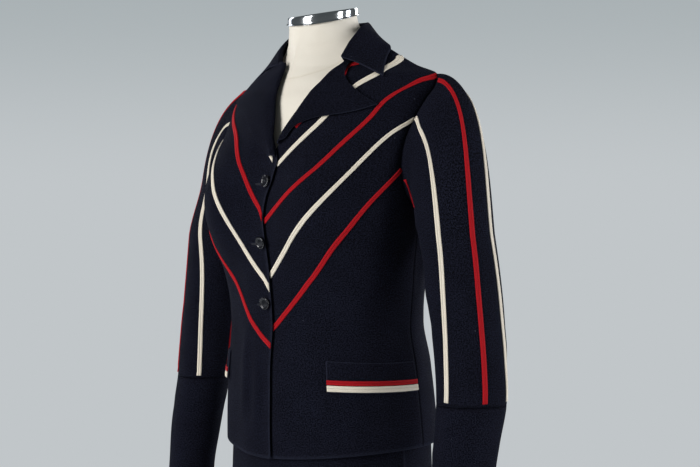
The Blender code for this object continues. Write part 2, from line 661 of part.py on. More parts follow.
def sleeve_facet(turn, along):
    """The point of the sleeve's flat facets at a turn and a distance along."""
    k = int(np.clip(np.searchsorted(SLEEVE_STEPS, along, side="right") - 1, 0, len(SLEEVE_STEPS) - 2))
    t = (along - SLEEVE_STEPS[k]) / (SLEEVE_STEPS[k + 1] - SLEEVE_STEPS[k])
    step = 360 / AROUND
    low = math.floor(turn / step) * step
    f = (turn - low) / step
    ends = [SLEEVE_STEPS[k], SLEEVE_STEPS[k], SLEEVE_STEPS[k + 1], SLEEVE_STEPS[k + 1]]
    corner = sleeve(np.array([low, low + step, low, low + step]), np.array(ends))
    return (1 - t) * ((1 - f) * corner[0] + f * corner[1]) + t * ((1 - f) * corner[2] + f * corner[3])


def sleeve_braids(side):
    """Braid sewn down a sleeve from the armhole to the seam."""
    word = "left" if side > 0 else "right"
    for key, turns in SLEEVE_BRAIDS.items():
        table = np.array([[0.0, turns[0]], [0.45, turns[1]], [1.1, turns[2]], [1.99, turns[3]]])
        first = 0.13 if key == "red_inner" else 0.06
        head = [first, 0.15, 0.2, 0.26, 0.33, 0.41, 0.5, 0.6, 0.7, 0.8, 0.9, 1.0]
        along = np.array(head + [1.24, 1.48, 1.72, 1.975])
        turn = curve(table, 1, along) + SLEEVE_TURN[side] * ramp(along, 0.1, 1.1)
        out = sleeve_normal(turn, along)
        place = sleeve(turn, along)
        flat = np.array([sleeve_facet(a, b) for a, b in zip(turn, along)])
        lift = BRAID_LIFT + np.maximum(0, ((flat - place) * out).sum(1))
        middle = place + out * lift[:, None]
        braid_on(f"sleeve_{key}_{word}", mirror(middle, side), mirror(out, side), key.split("_")[0])


def flap(side):
    """A pocket flap with a red band over a cream one along its lower edge."""
    word = "left" if side > 0 else "right"
    own = np.linspace(math.radians(FLAP["from"]), math.radians(FLAP["to"]), 9)
    pieces = (
        ("pocket_flap_", FLAP["top"], FLAP["bottom"], 0.06, 0.2, "navy", 4),
        ("flap_red_", 99.1, 98.46, 0.30, 0.1, "red", 2),
        ("flap_cream_", 98.39, 97.58, 0.30, 0.1, "cream", 2),
    )
    for name, top, bottom, lift, thick, colour, rows in pieces:
        outer, inner = [], []
        for level in np.linspace(bottom, top, rows):
            slack = 0.10 * (FLAP["top"] - level) / (FLAP["top"] - FLAP["bottom"])
            line = level - FLAP["drop"] * np.linspace(0, 1, 9)
            outer.append(on_front(side, own, line, lift + thick + slack))
            inner.append(on_front(side, own, line, lift + slack))
        shell(name + word, np.array(outer), np.array(inner), colour)


def revolve(name, profile, colour, around=32, place=None, **look):
    """A solid turned round an axis from (radius, height) pairs; the first and last lie on the axis."""
    turns = np.arange(around) * 2 * math.pi / around
    points = [np.array([0.0, 0.0, profile[0][1]])]
    for radius, height in profile[1:-1]:
        points += [np.array([radius * math.cos(t), radius * math.sin(t), height]) for t in turns]
    points.append(np.array([0.0, 0.0, profile[-1][1]]))
    faces = [(0, 1 + (k + 1) % around, 1 + k) for k in range(around)]
    for i in range(len(profile) - 3):
        low, high = 1 + i * around, 1 + (i + 1) * around
        for k in range(around):
            after = (k + 1) % around
            faces.append((low + k, low + after, high + after, high + k))
    top, ring = len(points) - 1, 1 + (len(profile) - 3) * around
    faces += [(top, ring + k, ring + (k + 1) % around) for k in range(around)]
    points = np.array(points)
    if place is not None:
        centre, axis = place
        axis = np.asarray(axis) / np.linalg.norm(axis)
        side = np.cross(axis, [1.0, 0.0, 0.0])
        side = side / np.linalg.norm(side)
        other = np.cross(side, axis)
        points = centre + points[:, :1] * other + points[:, 1:2] * side + points[:, 2:] * axis
    return finish(name, points, faces, colour, **look)


def buttons():
    """Three round rimmed buttons down the centre front."""
    r = BUTTON_RADIUS
    profile = [(0, 0), (r * 0.75, 0), (r, 0.14), (r, 0.3), (r * 0.86, 0.4), (r * 0.7, 0.33), (0, 0.27)]
    for number, (level, x) in enumerate(zip(BUTTON_LEVELS, BUTTON_X), 1):
        own = float(angle_at(-x, level))
        out = normal(-own, level)
        point = on_front(-1, own, level)
        turns = np.arange(8) * math.pi / 4
        rim = on_front(-1, own + 0.75 * r / 13.5 * np.cos(turns), level + 0.75 * r * np.sin(turns))
        lift = max(0.0, ((rim - point) * out).sum(1).max()) + above_facets(-1, own, level, point, out)
        seat = point + out * (lift + 0.06)
        revolve(f"button_{number}", profile, "button", around=20, place=(seat, out), rough=0.25)


def form():
    """The padded form, the cap on its neck, the pole and the base."""
    levels = [76.0, 76.6, 78.0, 82.0, 88.0, 94.0, 100.0, 103.5, 106.5, 110.0, 114.0, 118.0, 122.0, 126.0]
    levels += [130.0, 134.0, 137.0, 139.3, 140.5, 141.2, 142.0, 142.9, 143.7, 144.7, 145.5, 146.2, 147.0]
    levels += [147.8, 148.7]
    inset = [3.2, 1.2, 0.3] + [FORM_INSET] * (len(levels) - 3)
    around = 28
    angles = np.arange(around) * 2 * math.pi / around
    points = []
    for level, less in zip(levels, inset):
        row = body(angles, level + 0 * angles) - normal(angles, level + 0 * angles) * less
        if level < 80:
            row[:, 2] = level
        points.append(row)
    rows = len(points)
    points = np.concatenate(points + [[[0, 1.0, 76.0]], [[0, -0.5, 148.7]]])
    faces = [(rows * around, k, (k + 1) % around) for k in range(around)]
    for i in range(rows - 1):
        low, high = i * around, (i + 1) * around
        for k in range(around):
            after = (k + 1) % around
            faces.append((low + k, high + k, high + after, low + after))
    last = (rows - 1) * around
    faces += [(rows * around + 1, last + (k + 1) % around, last + k) for k in range(around)]
    finish("form_body", points, faces, "jersey", rough=0.8)
    tilt = math.atan(0.22)
    axis = np.array([0.0, -math.sin(tilt), math.cos(tilt)])
    top = np.array([0.0, -0.5, 148.7]) + axis * 0.05
    cap = [(0, 0), (4.85, 0), (4.95, 0.1), (4.95, 0.95), (4.75, 1.12), (0, 1.2)]
    revolve("neck_cap", cap, "chrome", around=32, place=(top, axis), rough=0.12, metal=1.0)
    p = POLE_RADIUS
    pole = [(0, 4.05), (p, 4.05), (p, 75.95), (0, 75.95)]
    revolve("stand_pole", pole, "steel", around=20, rough=0.3, metal=1.0)
    b = BASE_RADIUS
    base = [(0, 0), (b - 0.3, 0), (b, 0.3), (b, 0.8), (b - 0.5, 1.2), (4.2, 1.6), (3.0, 2.4), (2.6, 4.0)]
    base.append((0, 4.0))
    revolve("stand_base", base, "black", around=32, rough=0.45, metal=0.6)


def skirt_fold(angle, level):
    """Soft flutes that grow towards the hem."""
    down = np.clip((84.0 - level) / 50.0, 0, 1) ** 1.6
    return 0.75 * down * (np.cos(7 * angle + 0.6) + 0.35 * np.cos(3 * angle - 1.1))


def skirt():
    """Front and back of the skirt and its waistband."""
    rows = [SKIRT_HEM, 44.0, 54.0, 64.0, 74.0, 82.0, 88.0, 94.0, 100.0, 103.5, SKIRT_TOP]
    side = math.radians(85)
    for name, start, end in (("skirt_front", -side, side), ("skirt_back", side, 2 * math.pi - side)):
        outer, inner = [], []
        for level in rows:
            angle = np.linspace(start, end, 15)
            angle[0] += SEAM / 32
            angle[-1] -= SEAM / 32
            level_row = level + 0 * angle
            out = normal(angle, level_row)
            high = (0.27 + skirt_fold(angle, level_row))[..., None]
            base = body(angle, level_row)
            outer.append(base + out * high)
            inner.append(base + out * (high - 0.2))
        shell(name, np.array(outer), np.array(inner), "navy")
    angle = np.arange(28) * 2 * math.pi / 28
    outer, inner = [], []
    for level in (SKIRT_TOP + 0.06, 107.8, 109.3):
        out = normal(angle, level + 0 * angle)
        base = body(angle, level + 0 * angle)
        outer.append(base + out * 0.30)
        inner.append(base + out * 0.08)
    shell("skirt_waistband", np.array(outer), np.array(inner), "navy", closed=True)


form()
skirt()
front_panel(1, LEFT_EDGE)
front_panel(-1, RIGHT_EDGE)
back_panel()
for hand in (1, -1):
    sleeve_pieces(hand)
    front_braids(hand)
    sleeve_braids(hand)
    flap(hand)
lapel(1, LEFT_LAPEL, "lapel_left")
lapel(-1, RIGHT_LAPEL, "lapel_right")
collar()
buttons()
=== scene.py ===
# %% [markdown]
# A knitted suit on a dress form. The jacket is a fine navy wool knit with cream and red braid sewn on in
# chevrons, over a plain skirt of the same knit. The frame gives the real sizes of every piece; this file
# gives each piece its finish. We start by loading the frame. At the end we print the size of the box that
# the scene fills.

# %% Load the frame
import math

import bmesh
import bpy
import numpy as np
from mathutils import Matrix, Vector


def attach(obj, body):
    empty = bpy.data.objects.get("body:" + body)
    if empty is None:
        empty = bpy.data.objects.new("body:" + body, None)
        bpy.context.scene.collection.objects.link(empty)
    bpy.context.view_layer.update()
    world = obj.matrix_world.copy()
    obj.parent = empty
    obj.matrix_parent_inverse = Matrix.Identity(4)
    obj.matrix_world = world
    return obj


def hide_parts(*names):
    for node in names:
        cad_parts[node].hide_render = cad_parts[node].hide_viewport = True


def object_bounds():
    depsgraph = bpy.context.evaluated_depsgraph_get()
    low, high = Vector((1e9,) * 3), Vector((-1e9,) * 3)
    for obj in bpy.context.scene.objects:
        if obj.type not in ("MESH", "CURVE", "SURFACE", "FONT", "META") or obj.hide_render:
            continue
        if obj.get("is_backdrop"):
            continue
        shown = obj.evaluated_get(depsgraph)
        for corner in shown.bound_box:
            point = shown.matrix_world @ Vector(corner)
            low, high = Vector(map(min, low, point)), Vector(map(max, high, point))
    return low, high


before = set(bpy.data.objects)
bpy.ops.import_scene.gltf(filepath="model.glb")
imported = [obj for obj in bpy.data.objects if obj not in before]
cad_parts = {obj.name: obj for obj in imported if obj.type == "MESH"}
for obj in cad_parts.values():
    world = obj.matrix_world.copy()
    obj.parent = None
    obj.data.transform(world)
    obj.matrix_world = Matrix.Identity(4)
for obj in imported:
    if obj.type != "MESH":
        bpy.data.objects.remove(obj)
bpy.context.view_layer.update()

# %% [markdown]
# The camera comes first, so that every later choice can be compared with the picture. The photo was taken
# with a long lens from about two and a half metres, level with the shoulders and an eighth of a turn to the
# wearer's left. A long lens keeps the near sleeve from looking much bigger than the far one.

# %% Camera
EYE = (1.7678, -1.7728, 1.32)
PHOTO_WIDE, SENSOR = 700.0, 36.0
LENS_PIXELS = 1750.0
AIM_RIGHT, AIM_DOWN = 27.0, 93.5


def show(name, data):
    """An object with this data, linked into the scene."""
    thing = bpy.data.objects.new(name, data)
    bpy.context.scene.collection.objects.link(thing)
    return thing


camera = show("camera", bpy.data.cameras.new("camera"))
camera.data.sensor_width = SENSOR
camera.data.lens = SENSOR * LENS_PIXELS / PHOTO_WIDE
right_way = Vector((math.sqrt(0.5), math.sqrt(0.5), 0.0))
forward = Vector((-math.sqrt(0.5), math.sqrt(0.5), 0.0))
aim = forward + right_way * (AIM_RIGHT / LENS_PIXELS) - Vector((0, 0, 1)) * (AIM_DOWN / LENS_PIXELS)
camera.location = EYE
camera.rotation_euler = aim.to_track_quat("-Z", "Y").to_euler()
bpy.context.scene.camera = camera
bpy.context.scene.view_settings.view_transform = "Standard"
print("lens", round(camera.data.lens, 1), "mm")

# %% [markdown]
# The cloth follows one closed surface, the body of the form. Its sizes are short tables in centimetres, and
# a smooth curve through each column gives the size at any level. The same tables cut the solids of the
# frame, so cloth made from them lands where the frame has it, only finer.

# %% Tables of the form and the jacket, in centimetres
CLOTH, THIN_CLOTH = 0.22, 0.2
TRIM = 0.03
OVERLAP_RAISE = 0.38
SLUMP, HEAD_FLAT = 1.6, 0.9
UNDERARM, SHOULDER, HEM = 123.2, 140.7, 88.0
CUFF_LEVEL, SLEEVE_END, HEAD_END = 96.8, 80.0, 119.5
# from the axis to the cloth at the side and at the front, which turns a small angle into centimetres
SIDE_RADIUS, FRONT_RADIUS = 17.5, 13.5

# level, half width, front y, side y, back y, squareness, lean
BODY = np.array([
    [34.0, 17.2, -12.2, 0.5, 14.0, 2.0, 0.00],
    [60.0, 16.4, -11.8, 0.6, 13.8, 2.0, 0.00],
    [76.0, 15.9, -11.3, 0.8, 13.8, 2.0, 0.00],
    [88.0, 15.4, -11.2, 0.9, 13.8, 2.0, 0.00],
    [100.0, 13.5, -10.2, 0.4, 12.0, 2.0, 0.00],
    [106.5, 12.2, -8.9, -0.2, 9.8, 2.0, 0.00],
    [113.0, 13.5, -9.6, -0.2, 9.9, 2.1, 0.00],
    [121.5, 16.0, -10.8, 0.1, 10.2, 2.3, 0.00],
    [128.0, 17.1, -10.6, 0.7, 10.6, 2.3, 0.00],
    [134.0, 17.7, -9.6, 1.6, 10.4, 2.0, 0.00],
    [138.0, 18.4, -8.6, 2.2, 9.9, 1.7, 0.02],
    [139.6, 18.9, -7.9, 2.5, 9.4, 1.5, 0.04],
    [140.7, 18.65, -7.4, 2.6, 9.2, 1.4, 0.05],
    [141.95, 15.3, -6.9, 2.4, 8.8, 1.25, 0.07],
    [143.15, 12.9, -6.5, 2.2, 8.2, 1.15, 0.10],
    [144.7, 10.2, -6.1, 1.6, 7.2, 1.15, 0.13],
    [145.9, 7.6, -5.8, 0.8, 6.2, 1.30, 0.16],
    [146.8, 5.9, -5.6, 0.3, 5.4, 1.65, 0.19],
    [147.7, 5.1, -5.45, -0.1, 4.8, 1.90, 0.21],
    [149.05, 4.82, -5.32, -0.5, 4.32, 2.0, 0.22],
])
BUST_X, BUST_LEVEL, BUST_WIDE = 9.6, 123.3, 6.7
BUST_UP, BUST_DOWN, BUST_OUT = 7.5, 7.3, 3.9

# level, ease of the jacket's outer face above the form
EASE = np.array([
    [86.0, 0.95], [94.0, 1.6], [100.0, 2.2], [106.5, 2.9], [113.0, 2.3], [121.5, 1.3],
    [128.0, 0.9], [134.0, 0.62], [138.0, 0.46], [141.0, 0.38], [146.0, 0.32],
])

# turn round the armhole from the underarm, angle on the body, level
ARMHOLE = np.array([
    [0, 92, 123.2], [20, 84, 124.5], [45, 78, 127.4], [70, 75, 130.9], [90, 76, 133.3], [110, 79, 135.8],
    [135, 83, 138.2], [160, 87.2, 140.1], [180, 90, 140.7], [200, 94, 140.0], [225, 101, 138.0],
    [250, 108, 135.3], [270, 112, 132.5], [295, 113, 129.3], [320, 108, 126.2], [340, 100, 124.2],
    [360, 92, 123.2],
])

# level, centre x, centre y, half length of the sleeve's long axis and of the short one
SLEEVE = np.array([
    [80.0, 27.3, -2.1, 4.0, 3.5],
    [82.0, 27.3, -1.9, 4.05, 3.5],
    [87.6, 27.1, -1.2, 4.25, 3.75],
    [92.0, 27.0, -0.4, 4.45, 3.95],
    [96.8, 26.9, 0.55, 4.7, 4.1],
    [102.0, 26.4, 0.95, 4.85, 4.3],
    [115.0, 24.35, 1.4, 5.15, 4.75],
    [121.0, 23.25, 1.3, 5.2, 4.95],
])

# level, x of the front edge on the wearer's own side (negative is past the centre)
LEFT_EDGE = np.array([
    [86.0, -1.7], [126.0, -1.7], [128.6, 0.2], [130.6, 1.9], [132.2, 2.6], [134.8, 4.0], [137.8, 5.6],
    [140.8, 6.8], [142.5, 7.0], [145.2, 7.4],
])
RIGHT_EDGE = np.array([
    [86.0, -1.7], [104.0, -1.5], [113.0, -1.4], [118.0, -1.6], [121.0, -1.65], [124.0, -2.3], [126.4, -3.3],
    [128.6, -3.4], [130.4, -2.2], [133.0, -0.6],
    [136.0, 0.4], [138.0, 1.1], [140.5, 2.3], [142.4, 4.4], [144.0, 7.2], [145.2, 8.7],
])

# Soft folds of the jacket: angle and level of one end, then of the other, half width, height
# (a minus is a trough)
FOLDS = np.array([
    [79.0, 134.6, 76.0, 127.8, 0.8, -0.34],
    [70.0, 135.0, 68.0, 127.0, 1.4, 0.20],
    [-78.0, 133.6, -75.0, 128.0, 0.9, -0.30],
    [-69.0, 134.0, -67.0, 127.4, 1.5, 0.18],
    [-16.0, 105.0, -15.0, 93.0, 0.9, 0.20],
    [-10.5, 103.5, -9.5, 92.0, 0.8, -0.12],
    [-4.0, 101.5, -4.5, 90.5, 0.8, 0.20],
    [48.0, 109.2, 86.0, 107.2, 1.2, 0.14],
    [55.0, 105.4, 92.0, 104.4, 1.4, -0.13],
    [62.0, 102.8, 88.0, 103.6, 1.1, 0.09],
    [-50.0, 108.4, -88.0, 106.6, 1.2, 0.13],
    [-58.0, 105.0, -93.0, 104.0, 1.3, -0.12],
    [96.0, 120.5, 104.0, 111.0, 1.3, -0.18],
    [-96.0, 121.0, -106.0, 110.0, 1.4, -0.17],
    [112.0, 124.5, 124.0, 111.5, 1.6, 0.17],
    [-111.0, 125.5, -126.0, 112.5, 1.5, 0.16],
    [148.0, 112.5, 176.0, 108.5, 1.3, 0.13],
    [-150.0, 110.0, -178.0, 107.0, 1.4, 0.12],
    [140.0, 106.8, 172.0, 104.2, 1.5, -0.14],
    [118.0, 137.0, 124.0, 127.5, 1.4, -0.15],
    [-117.0, 136.0, -122.0, 128.5, 1.3, -0.13],
    [24.0, 112.5, 50.0, 107.0, 1.6, -0.09],
    [-26.0, 111.5, -52.0, 106.5, 1.5, -0.09],
    [10.0, 100.5, 13.0, 91.0, 1.2, 0.08],
])
print("tables:", len(BODY), "levels,", len(FOLDS), "soft folds")

# %% [markdown]
# Everything below is worked out as whole arrays. `curve` is a cubic that never overshoots its table, which
# keeps a waist or a neck from bulging between two rows. `body` turns an angle and a level into a point:
# a squared oval with two soft mounds for the bust. A finite difference gives its outward direction.

# %% Surface of the form
def hermite(t, low, high, low_slope, high_slope):
    """The cubic from low to high, as t goes from 0 to 1, with these slopes at its ends."""
    value = (2 * t**3 - 3 * t**2 + 1) * low + (3 * t**2 - 2 * t**3) * high
    return value + (t**3 - 2 * t**2 + t) * low_slope + (t**3 - t**2) * high_slope


def curve(table, column, at):
    """Cubic through one column by the first one, with slopes that keep it between its points."""
    x, y = table[:, 0], table[:, column]
    at = np.clip(at, x[0], x[-1])
    step = np.diff(x)
    slope = np.diff(y) / step
    a, b = 2 * step[1:] + step[:-1], step[1:] + 2 * step[:-1]
    with np.errstate(divide="ignore", invalid="ignore"):
        inner = (a + b) / (a / slope[:-1] + b / slope[1:])
    inner = np.where(slope[:-1] * slope[1:] > 0, inner, 0.0)
    tangent = np.concatenate([slope[:1], inner, slope[-1:]])
    k = np.clip(np.searchsorted(x, at, side="right") - 1, 0, len(x) - 2)
    return hermite((at - x[k]) / step[k], y[k], y[k + 1], step[k] * tangent[k], step[k] * tangent[k + 1])


def ramp(value, low, high):
    """0 at low, 1 at high, smooth between."""
    t = np.clip((np.asarray(value, float) - low) / (high - low), 0, 1)
    return t * t * (3 - 2 * t)


def unit(way):
    """The same directions with length 1."""
    return way / np.maximum(np.linalg.norm(way, axis=-1, keepdims=True), 1e-9)


def spread(*values):
    """The same values as arrays of decimal numbers, all of one shape."""
    return np.broadcast_arrays(*(np.asarray(value, float) for value in values))


def body(angle, level):
    """Angle 0 is the front, a quarter turn the wearer's left; x and y are powers of sine and cosine."""
    angle, level = spread(angle, level)
    wide, front, side, back, square, lean = (curve(BODY, k, level) for k in range(1, 7))
    sine, cosine = np.sin(angle), np.cos(angle)
    x = wide * np.sign(sine) * np.abs(sine) ** (2 / square)
    depth = np.where(cosine > 0, side - front, back - side)
    y = side - np.sign(cosine) * depth * np.abs(cosine) ** (2 / square)
    high = np.where(level > BUST_LEVEL, BUST_UP, BUST_DOWN)
    rise = ((level - BUST_LEVEL) / high) ** 2
    bump = sum(np.exp(-(((x - k * BUST_X) / BUST_WIDE) ** 2) - rise) for k in (-1, 1))
    y = y - BUST_OUT * bump * np.sqrt(np.clip(cosine, 0, 1))
    return np.stack([x, y, level + (y - side) * lean], -1)


def normal(angle, level):
    """Outward direction: the cross product of a small step round and a small step up."""
    angle, level = np.asarray(angle, float), np.asarray(level, float)
    across = body(angle + 0.03, level) - body(angle - 0.03, level)
    return unit(np.cross(across, body(angle, level + 0.15) - body(angle, level - 0.15)))


def angle_at(x, level):
    """Angle where the front of the body has this x."""
    share = np.clip(np.abs(x) / curve(BODY, 1, level), 0, 1)
    return np.sign(x) * np.arcsin(share ** (curve(BODY, 5, level) / 2))


def running(points, axis=0):
    """Running length along one axis of a grid of points, from 0."""
    step = np.linalg.norm(np.diff(points, axis=axis), axis=-1)
    return np.concatenate([0 * np.take(step, [0], axis), np.cumsum(step, axis=axis)], axis)


girth = running(body(np.linspace(0, 2 * math.pi, 721), BUST_LEVEL))[-1]
print("girth of the form at the bust", round(girth, 1), "cm")

# %% [markdown]
# Knitted cloth is soft, so its surface is never quite true. The height of the jacket above the form is its
# ease, plus listed soft folds, plus a faint waviness. A fold is a ridge or trough along a line: its
# height falls off with distance from the line as a bell curve, and tapers towards both ends. Because
# everything that lies on the jacket asks the same function, braid and flaps ride over the folds.

# %% Height of the jacket above the form
def turn_between(end, start):
    """Degrees from start to end, by the shorter way."""
    return (end - start + 180) % 360 - 180


def creases(table, turn, level, apart, scale, sway, reach):
    """Sum over the table of height times a bell curve of the distance to the fold's line.

    apart subtracts two turns and scale gives the centimetres in a degree and in a unit of level. The line
    bows by sway, and the height fades out past its two ends, by the shares of its length in reach.
    """
    total = 0.0
    for t0, z0, t1, z1, wide, high in table:
        x, z = apart(turn, t0) * scale[0], (level - z0) * scale[1]
        dx, dz = apart(t1, t0) * scale[0], (z1 - z0) * scale[1]
        long = math.hypot(dx, dz)
        run = (x * dx + z * dz) / long
        off = (x * dz - z * dx) / long + sway * np.sin(run / long * math.pi)
        taper = ramp(run, reach[0] * long, 0.35 * long) * (1 - ramp(run, 0.6 * long, reach[1] * long))
        total = total + high * np.exp(-((off / wide) ** 2)) * taper
    return total


def jacket_height(angle, level):
    """Ease, folds, and three slow sine waves under half a millimetre each that fade near the neck."""
    angle, level = np.asarray(angle, float), np.asarray(level, float)
    turn = turn_between(np.degrees(angle), 0.0)
    folds = creases(
        FOLDS, turn, level, apart=np.subtract, scale=(0.27, 1.0), sway=0.35, reach=(-0.15, 1.15))
    wave = 0.030 * np.sin(3 * angle + level * 0.31) + 0.026 * np.sin(7 * angle - level * 0.23 + 1.3)
    wave = wave + 0.022 * np.sin(2 * angle + level * 0.62 + 0.4)
    return curve(EASE, 1, level) + folds + wave * (1 - 0.6 * ramp(level, 136, 142))


def valley(own, level, front):
    """A sewn seam pulls the cloth in: a bell curve of the distance to the seam, about a millimetre deep."""
    level_of, seam = rows_and_seams(front)
    away = (np.interp(level, level_of, seam) - own) * SIDE_RADIUS
    return (-0.05 - 0.06 * ramp(level, 121.0, 125.0)) * np.exp(-((away / 0.45) ** 2))


def front_height(side, angle, level):
    """The right front laps over the left, so it stands higher near the centre, most of all at its edge."""
    height = jacket_height(angle, level) + valley(side * np.asarray(angle), level, True)
    if side < 0:
        own = -body(angle, level)[..., 0]
        height = height + OVERLAP_RAISE * (1 - ramp(own, 2.3, 6.5)) * (1 - ramp(level, 131, 137))
        away = own - curve(RIGHT_EDGE, 1, level)
        height = height + 0.16 * (1 - ramp(away, 0.0, 1.3)) * (1 - ramp(level, 127, 131))
    return height


def on_front(side, own_angle, level, more=0.0):
    """A point on a front, moved out along the normal by more."""
    angle = side * np.asarray(own_angle, float)
    height = front_height(side, angle, level) + more
    return body(angle, level) + normal(angle, level) * np.asarray(height)[..., None]


def settle(points):
    """The wearer's right shoulder sits lower than the left, and its sleeve head flatter."""
    points = np.array(points, float)
    flat = ramp(-points[..., 0], 18.8, 22.5) * ramp(points[..., 2], 117.0, 126.0)
    points[..., 2] -= SLUMP * ramp(-points[..., 0], 5.0, 15.0) * ramp(points[..., 2], 125.0, 141.0)
    points[..., 0] += HEAD_FLAT * flat
    points[..., 1] += 0.8 * HEAD_FLAT * flat
    return points


# %% [markdown]
# Now the finishes. Colours are given as the hex values you would read off a swatch, and one function turns
# them to the linear values that light works in. One small helper adds a node with its settings and links,
# and a few more name what we do with it, which keeps each material short enough to read.

# %% Colour and node helpers
def linear(code):
    """An sRGB hex colour as linear red, green, blue and alpha."""
    rgb = [int(code.lstrip("#")[k : k + 2], 16) / 255 for k in (0, 2, 4)]
    return tuple(c / 12.92 if c <= 0.04045 else ((c + 0.055) / 1.055) ** 2.4 for c in rgb) + (1.0,)


def add(tree, kind, links=None, **settings):
    """A node of one kind; links sets inputs to sockets, colours or numbers, settings its own options."""
    node = tree.nodes.new(kind)
    for key, value in settings.items():
        setattr(node, key, value)
    for key, value in (links or {}).items():
        if isinstance(value, bpy.types.NodeSocket):
            tree.links.new(value, node.inputs[key])
        else:
            node.inputs[key].default_value = linear(value) if isinstance(value, str) else value
    return node


def maths(tree, operation, first, second=0.0):
    """One Math node's result."""
    return add(tree, "ShaderNodeMath", {0: first, 1: second}, operation=operation).outputs[0]


def scaled(tree, value, factor, plus=0.0):
    """value times factor, plus plus."""
    return add(tree, "ShaderNodeMath", {0: value, 1: factor, 2: plus}, operation="MULTIPLY_ADD").outputs[0]


def wave(tree, value):
    """Sine that comes round once for each whole step of value."""
    return maths(tree, "SINE", scaled(tree, value, 2 * math.pi))


def noise(tree, place, scale, detail, rough=0.5):
    """Soft noise between 0 and 1; scale says how many spots go to a metre."""
    links = {"Vector": place, "Scale": scale, "Detail": detail, "Roughness": rough}
    return add(tree, "ShaderNodeTexNoise", links).outputs[0]


def blend(tree, share, first, second):
    """first where share is 0, second where it is 1."""
    return add(tree, "ShaderNodeMix", {0: share, 6: first, 7: second}, data_type="RGBA").outputs[2]


def attribute(tree, name):
    """A number that the mesh carries on its points."""
    return add(tree, "ShaderNodeAttribute", attribute_name=name).outputs["Fac"]


def cloth_place(tree):
    """The place on the flat cloth in metres: as a vector, across, and up."""
    cloth = add(tree, "ShaderNodeUVMap", uv_map="cloth").outputs[0]
    split = add(tree, "ShaderNodeSeparateXYZ", {0: cloth})
    return cloth, split.outputs[0], split.outputs[1]


def new_material(name, **values):
    """A material with a Principled shader whose plain sockets are set here."""
    material = bpy.data.materials.new(name)
    material.use_nodes = True
    shader = material.node_tree.nodes["Principled BSDF"]
    for key, value in values.items():
        value = linear(value) if isinstance(value, str) else value
        shader.inputs[key.replace("_", " ")].default_value = value
    return material, material.node_tree


def finish(material, height, strength, distance, **sockets):
    """Links height to the shader as a bump, and each of sockets to the shader's socket of that name."""
    tree = material.node_tree
    links = {"Height": height, "Strength": strength, "Distance": distance}
    sockets["Normal"] = add(tree, "ShaderNodeBump", links).outputs[0]
    for key, socket in sockets.items():
        tree.links.new(socket, tree.nodes["Principled BSDF"].inputs[key.replace("_", " ")])
    return material


# %% [markdown]
# Fine wool knit, stocking stitch. Each stitch is a V, and the Vs stand in upright columns, the wales. On
# the real cloth a wale is about 1.2 mm wide, too fine for this picture, so it is drawn at 2.4 mm, just
# coarse enough to show as the soft grain that the photo has. The cloth map gives metres across and up, so
# the Vs follow the cut of each piece. Wool drinks light; what little it returns comes from its nap, a faint
# sheen. The colour carries painted shade in the hollows between stitches, a painted highlight on free edges,
# where the folded cloth would catch the light, and painted shade along sewn edges.

# %% Knit material
WALE, COURSE = 0.0024, 0.0019


def knit(name, base, dark, light):
    """Height = a wave along (course + a V across the wale), rounded at the wale's sides."""
    material, tree = new_material(
        name, Roughness=0.92, IOR=1.45, Specular_IOR_Level=0.05,
        Sheen_Weight=0.055, Sheen_Roughness=0.22, Sheen_Tint="#8c93b8")
    cloth, across, upward = cloth_place(tree)
    wobble = noise(tree, cloth, 260.0, 1.0)
    column = maths(tree, "PINGPONG", scaled(tree, wobble, 0.22, scaled(tree, across, 1 / WALE)), 0.5)
    loop = wave(tree, scaled(tree, column, 1.7, scaled(tree, upward, 1 / COURSE)))
    stitch = scaled(tree, loop, 0.30, scaled(tree, wave(tree, column), 0.45))
    patch = scaled(tree, noise(tree, cloth, 22.0, 3.0, 0.6), 0.35, -1.27)
    mottle = scaled(tree, noise(tree, cloth, 560.0, 2.0, 0.6), 3.2, patch)
    # Painted shade: the colour follows the stitch's height and is darker in its hollows; the mottle is random
    # tone.
    colour = add(tree, "ShaderNodeValToRGB", {0: scaled(tree, stitch, 0.30, mottle)})
    stops = colour.color_ramp.elements
    stops.new(0.5)
    for stop, place, code in zip(stops, (0.18, 0.5, 0.86), (dark, base, light)):
        stop.position, stop.color = place, linear(code)
    lint = add(tree, "ShaderNodeTexVoronoi", {"Vector": cloth, "Scale": 95.0})
    near = maths(tree, "LESS_THAN", lint.outputs["Distance"], 0.055)
    tint = add(tree, "ShaderNodeSeparateColor", {0: lint.outputs["Color"]}).outputs[0]
    fleck = scaled(tree, scaled(tree, near, maths(tree, "GREATER_THAN", tint, 0.955)), 0.35)
    flecked = blend(tree, fleck, colour.outputs[0], "#8b8f9c")
    # Painted highlight where the edge number is above 0, on free edges; painted shade where it is below 0,
    # along sewn edges.
    light_shade_mark = attribute(tree, "edge")
    pale = blend(tree, scaled(tree, maths(tree, "MAXIMUM", light_shade_mark), 0.5), flecked, "#3a3d4e")
    edge_lit_seam_shaded = blend(tree, scaled(tree, maths(tree, "MINIMUM", light_shade_mark), -0.8), pale, "#040408")
    height = scaled(tree, noise(tree, cloth, 900.0, 2.0, 0.7), 0.9, stitch)
    return finish(material, height, 0.7, 0.0009, Base_Color=edge_lit_seam_shaded)


NAVY = knit("navy_wool_knit", "#0c0d16", "#050509", "#1c1e2b")
SKIRT_NAVY = knit("navy_wool_skirt_knit", "#0c0d16", "#050509", "#1b1d29")

# %% [markdown]
# The stripes are knitted braid, laid on and sewn down. A braid is two slanted plaits that meet at a groove
# along the middle, so its height is a wave along the length plus the distance from the middle. The thread
# is 1 mm thick on the real braid and is drawn at 1.6 mm. Its colour carries painted shade, darker in the
# groove and between the plaits.

# %% Braid materials
PLAIT = 0.0016
GROOVE = 0.0007


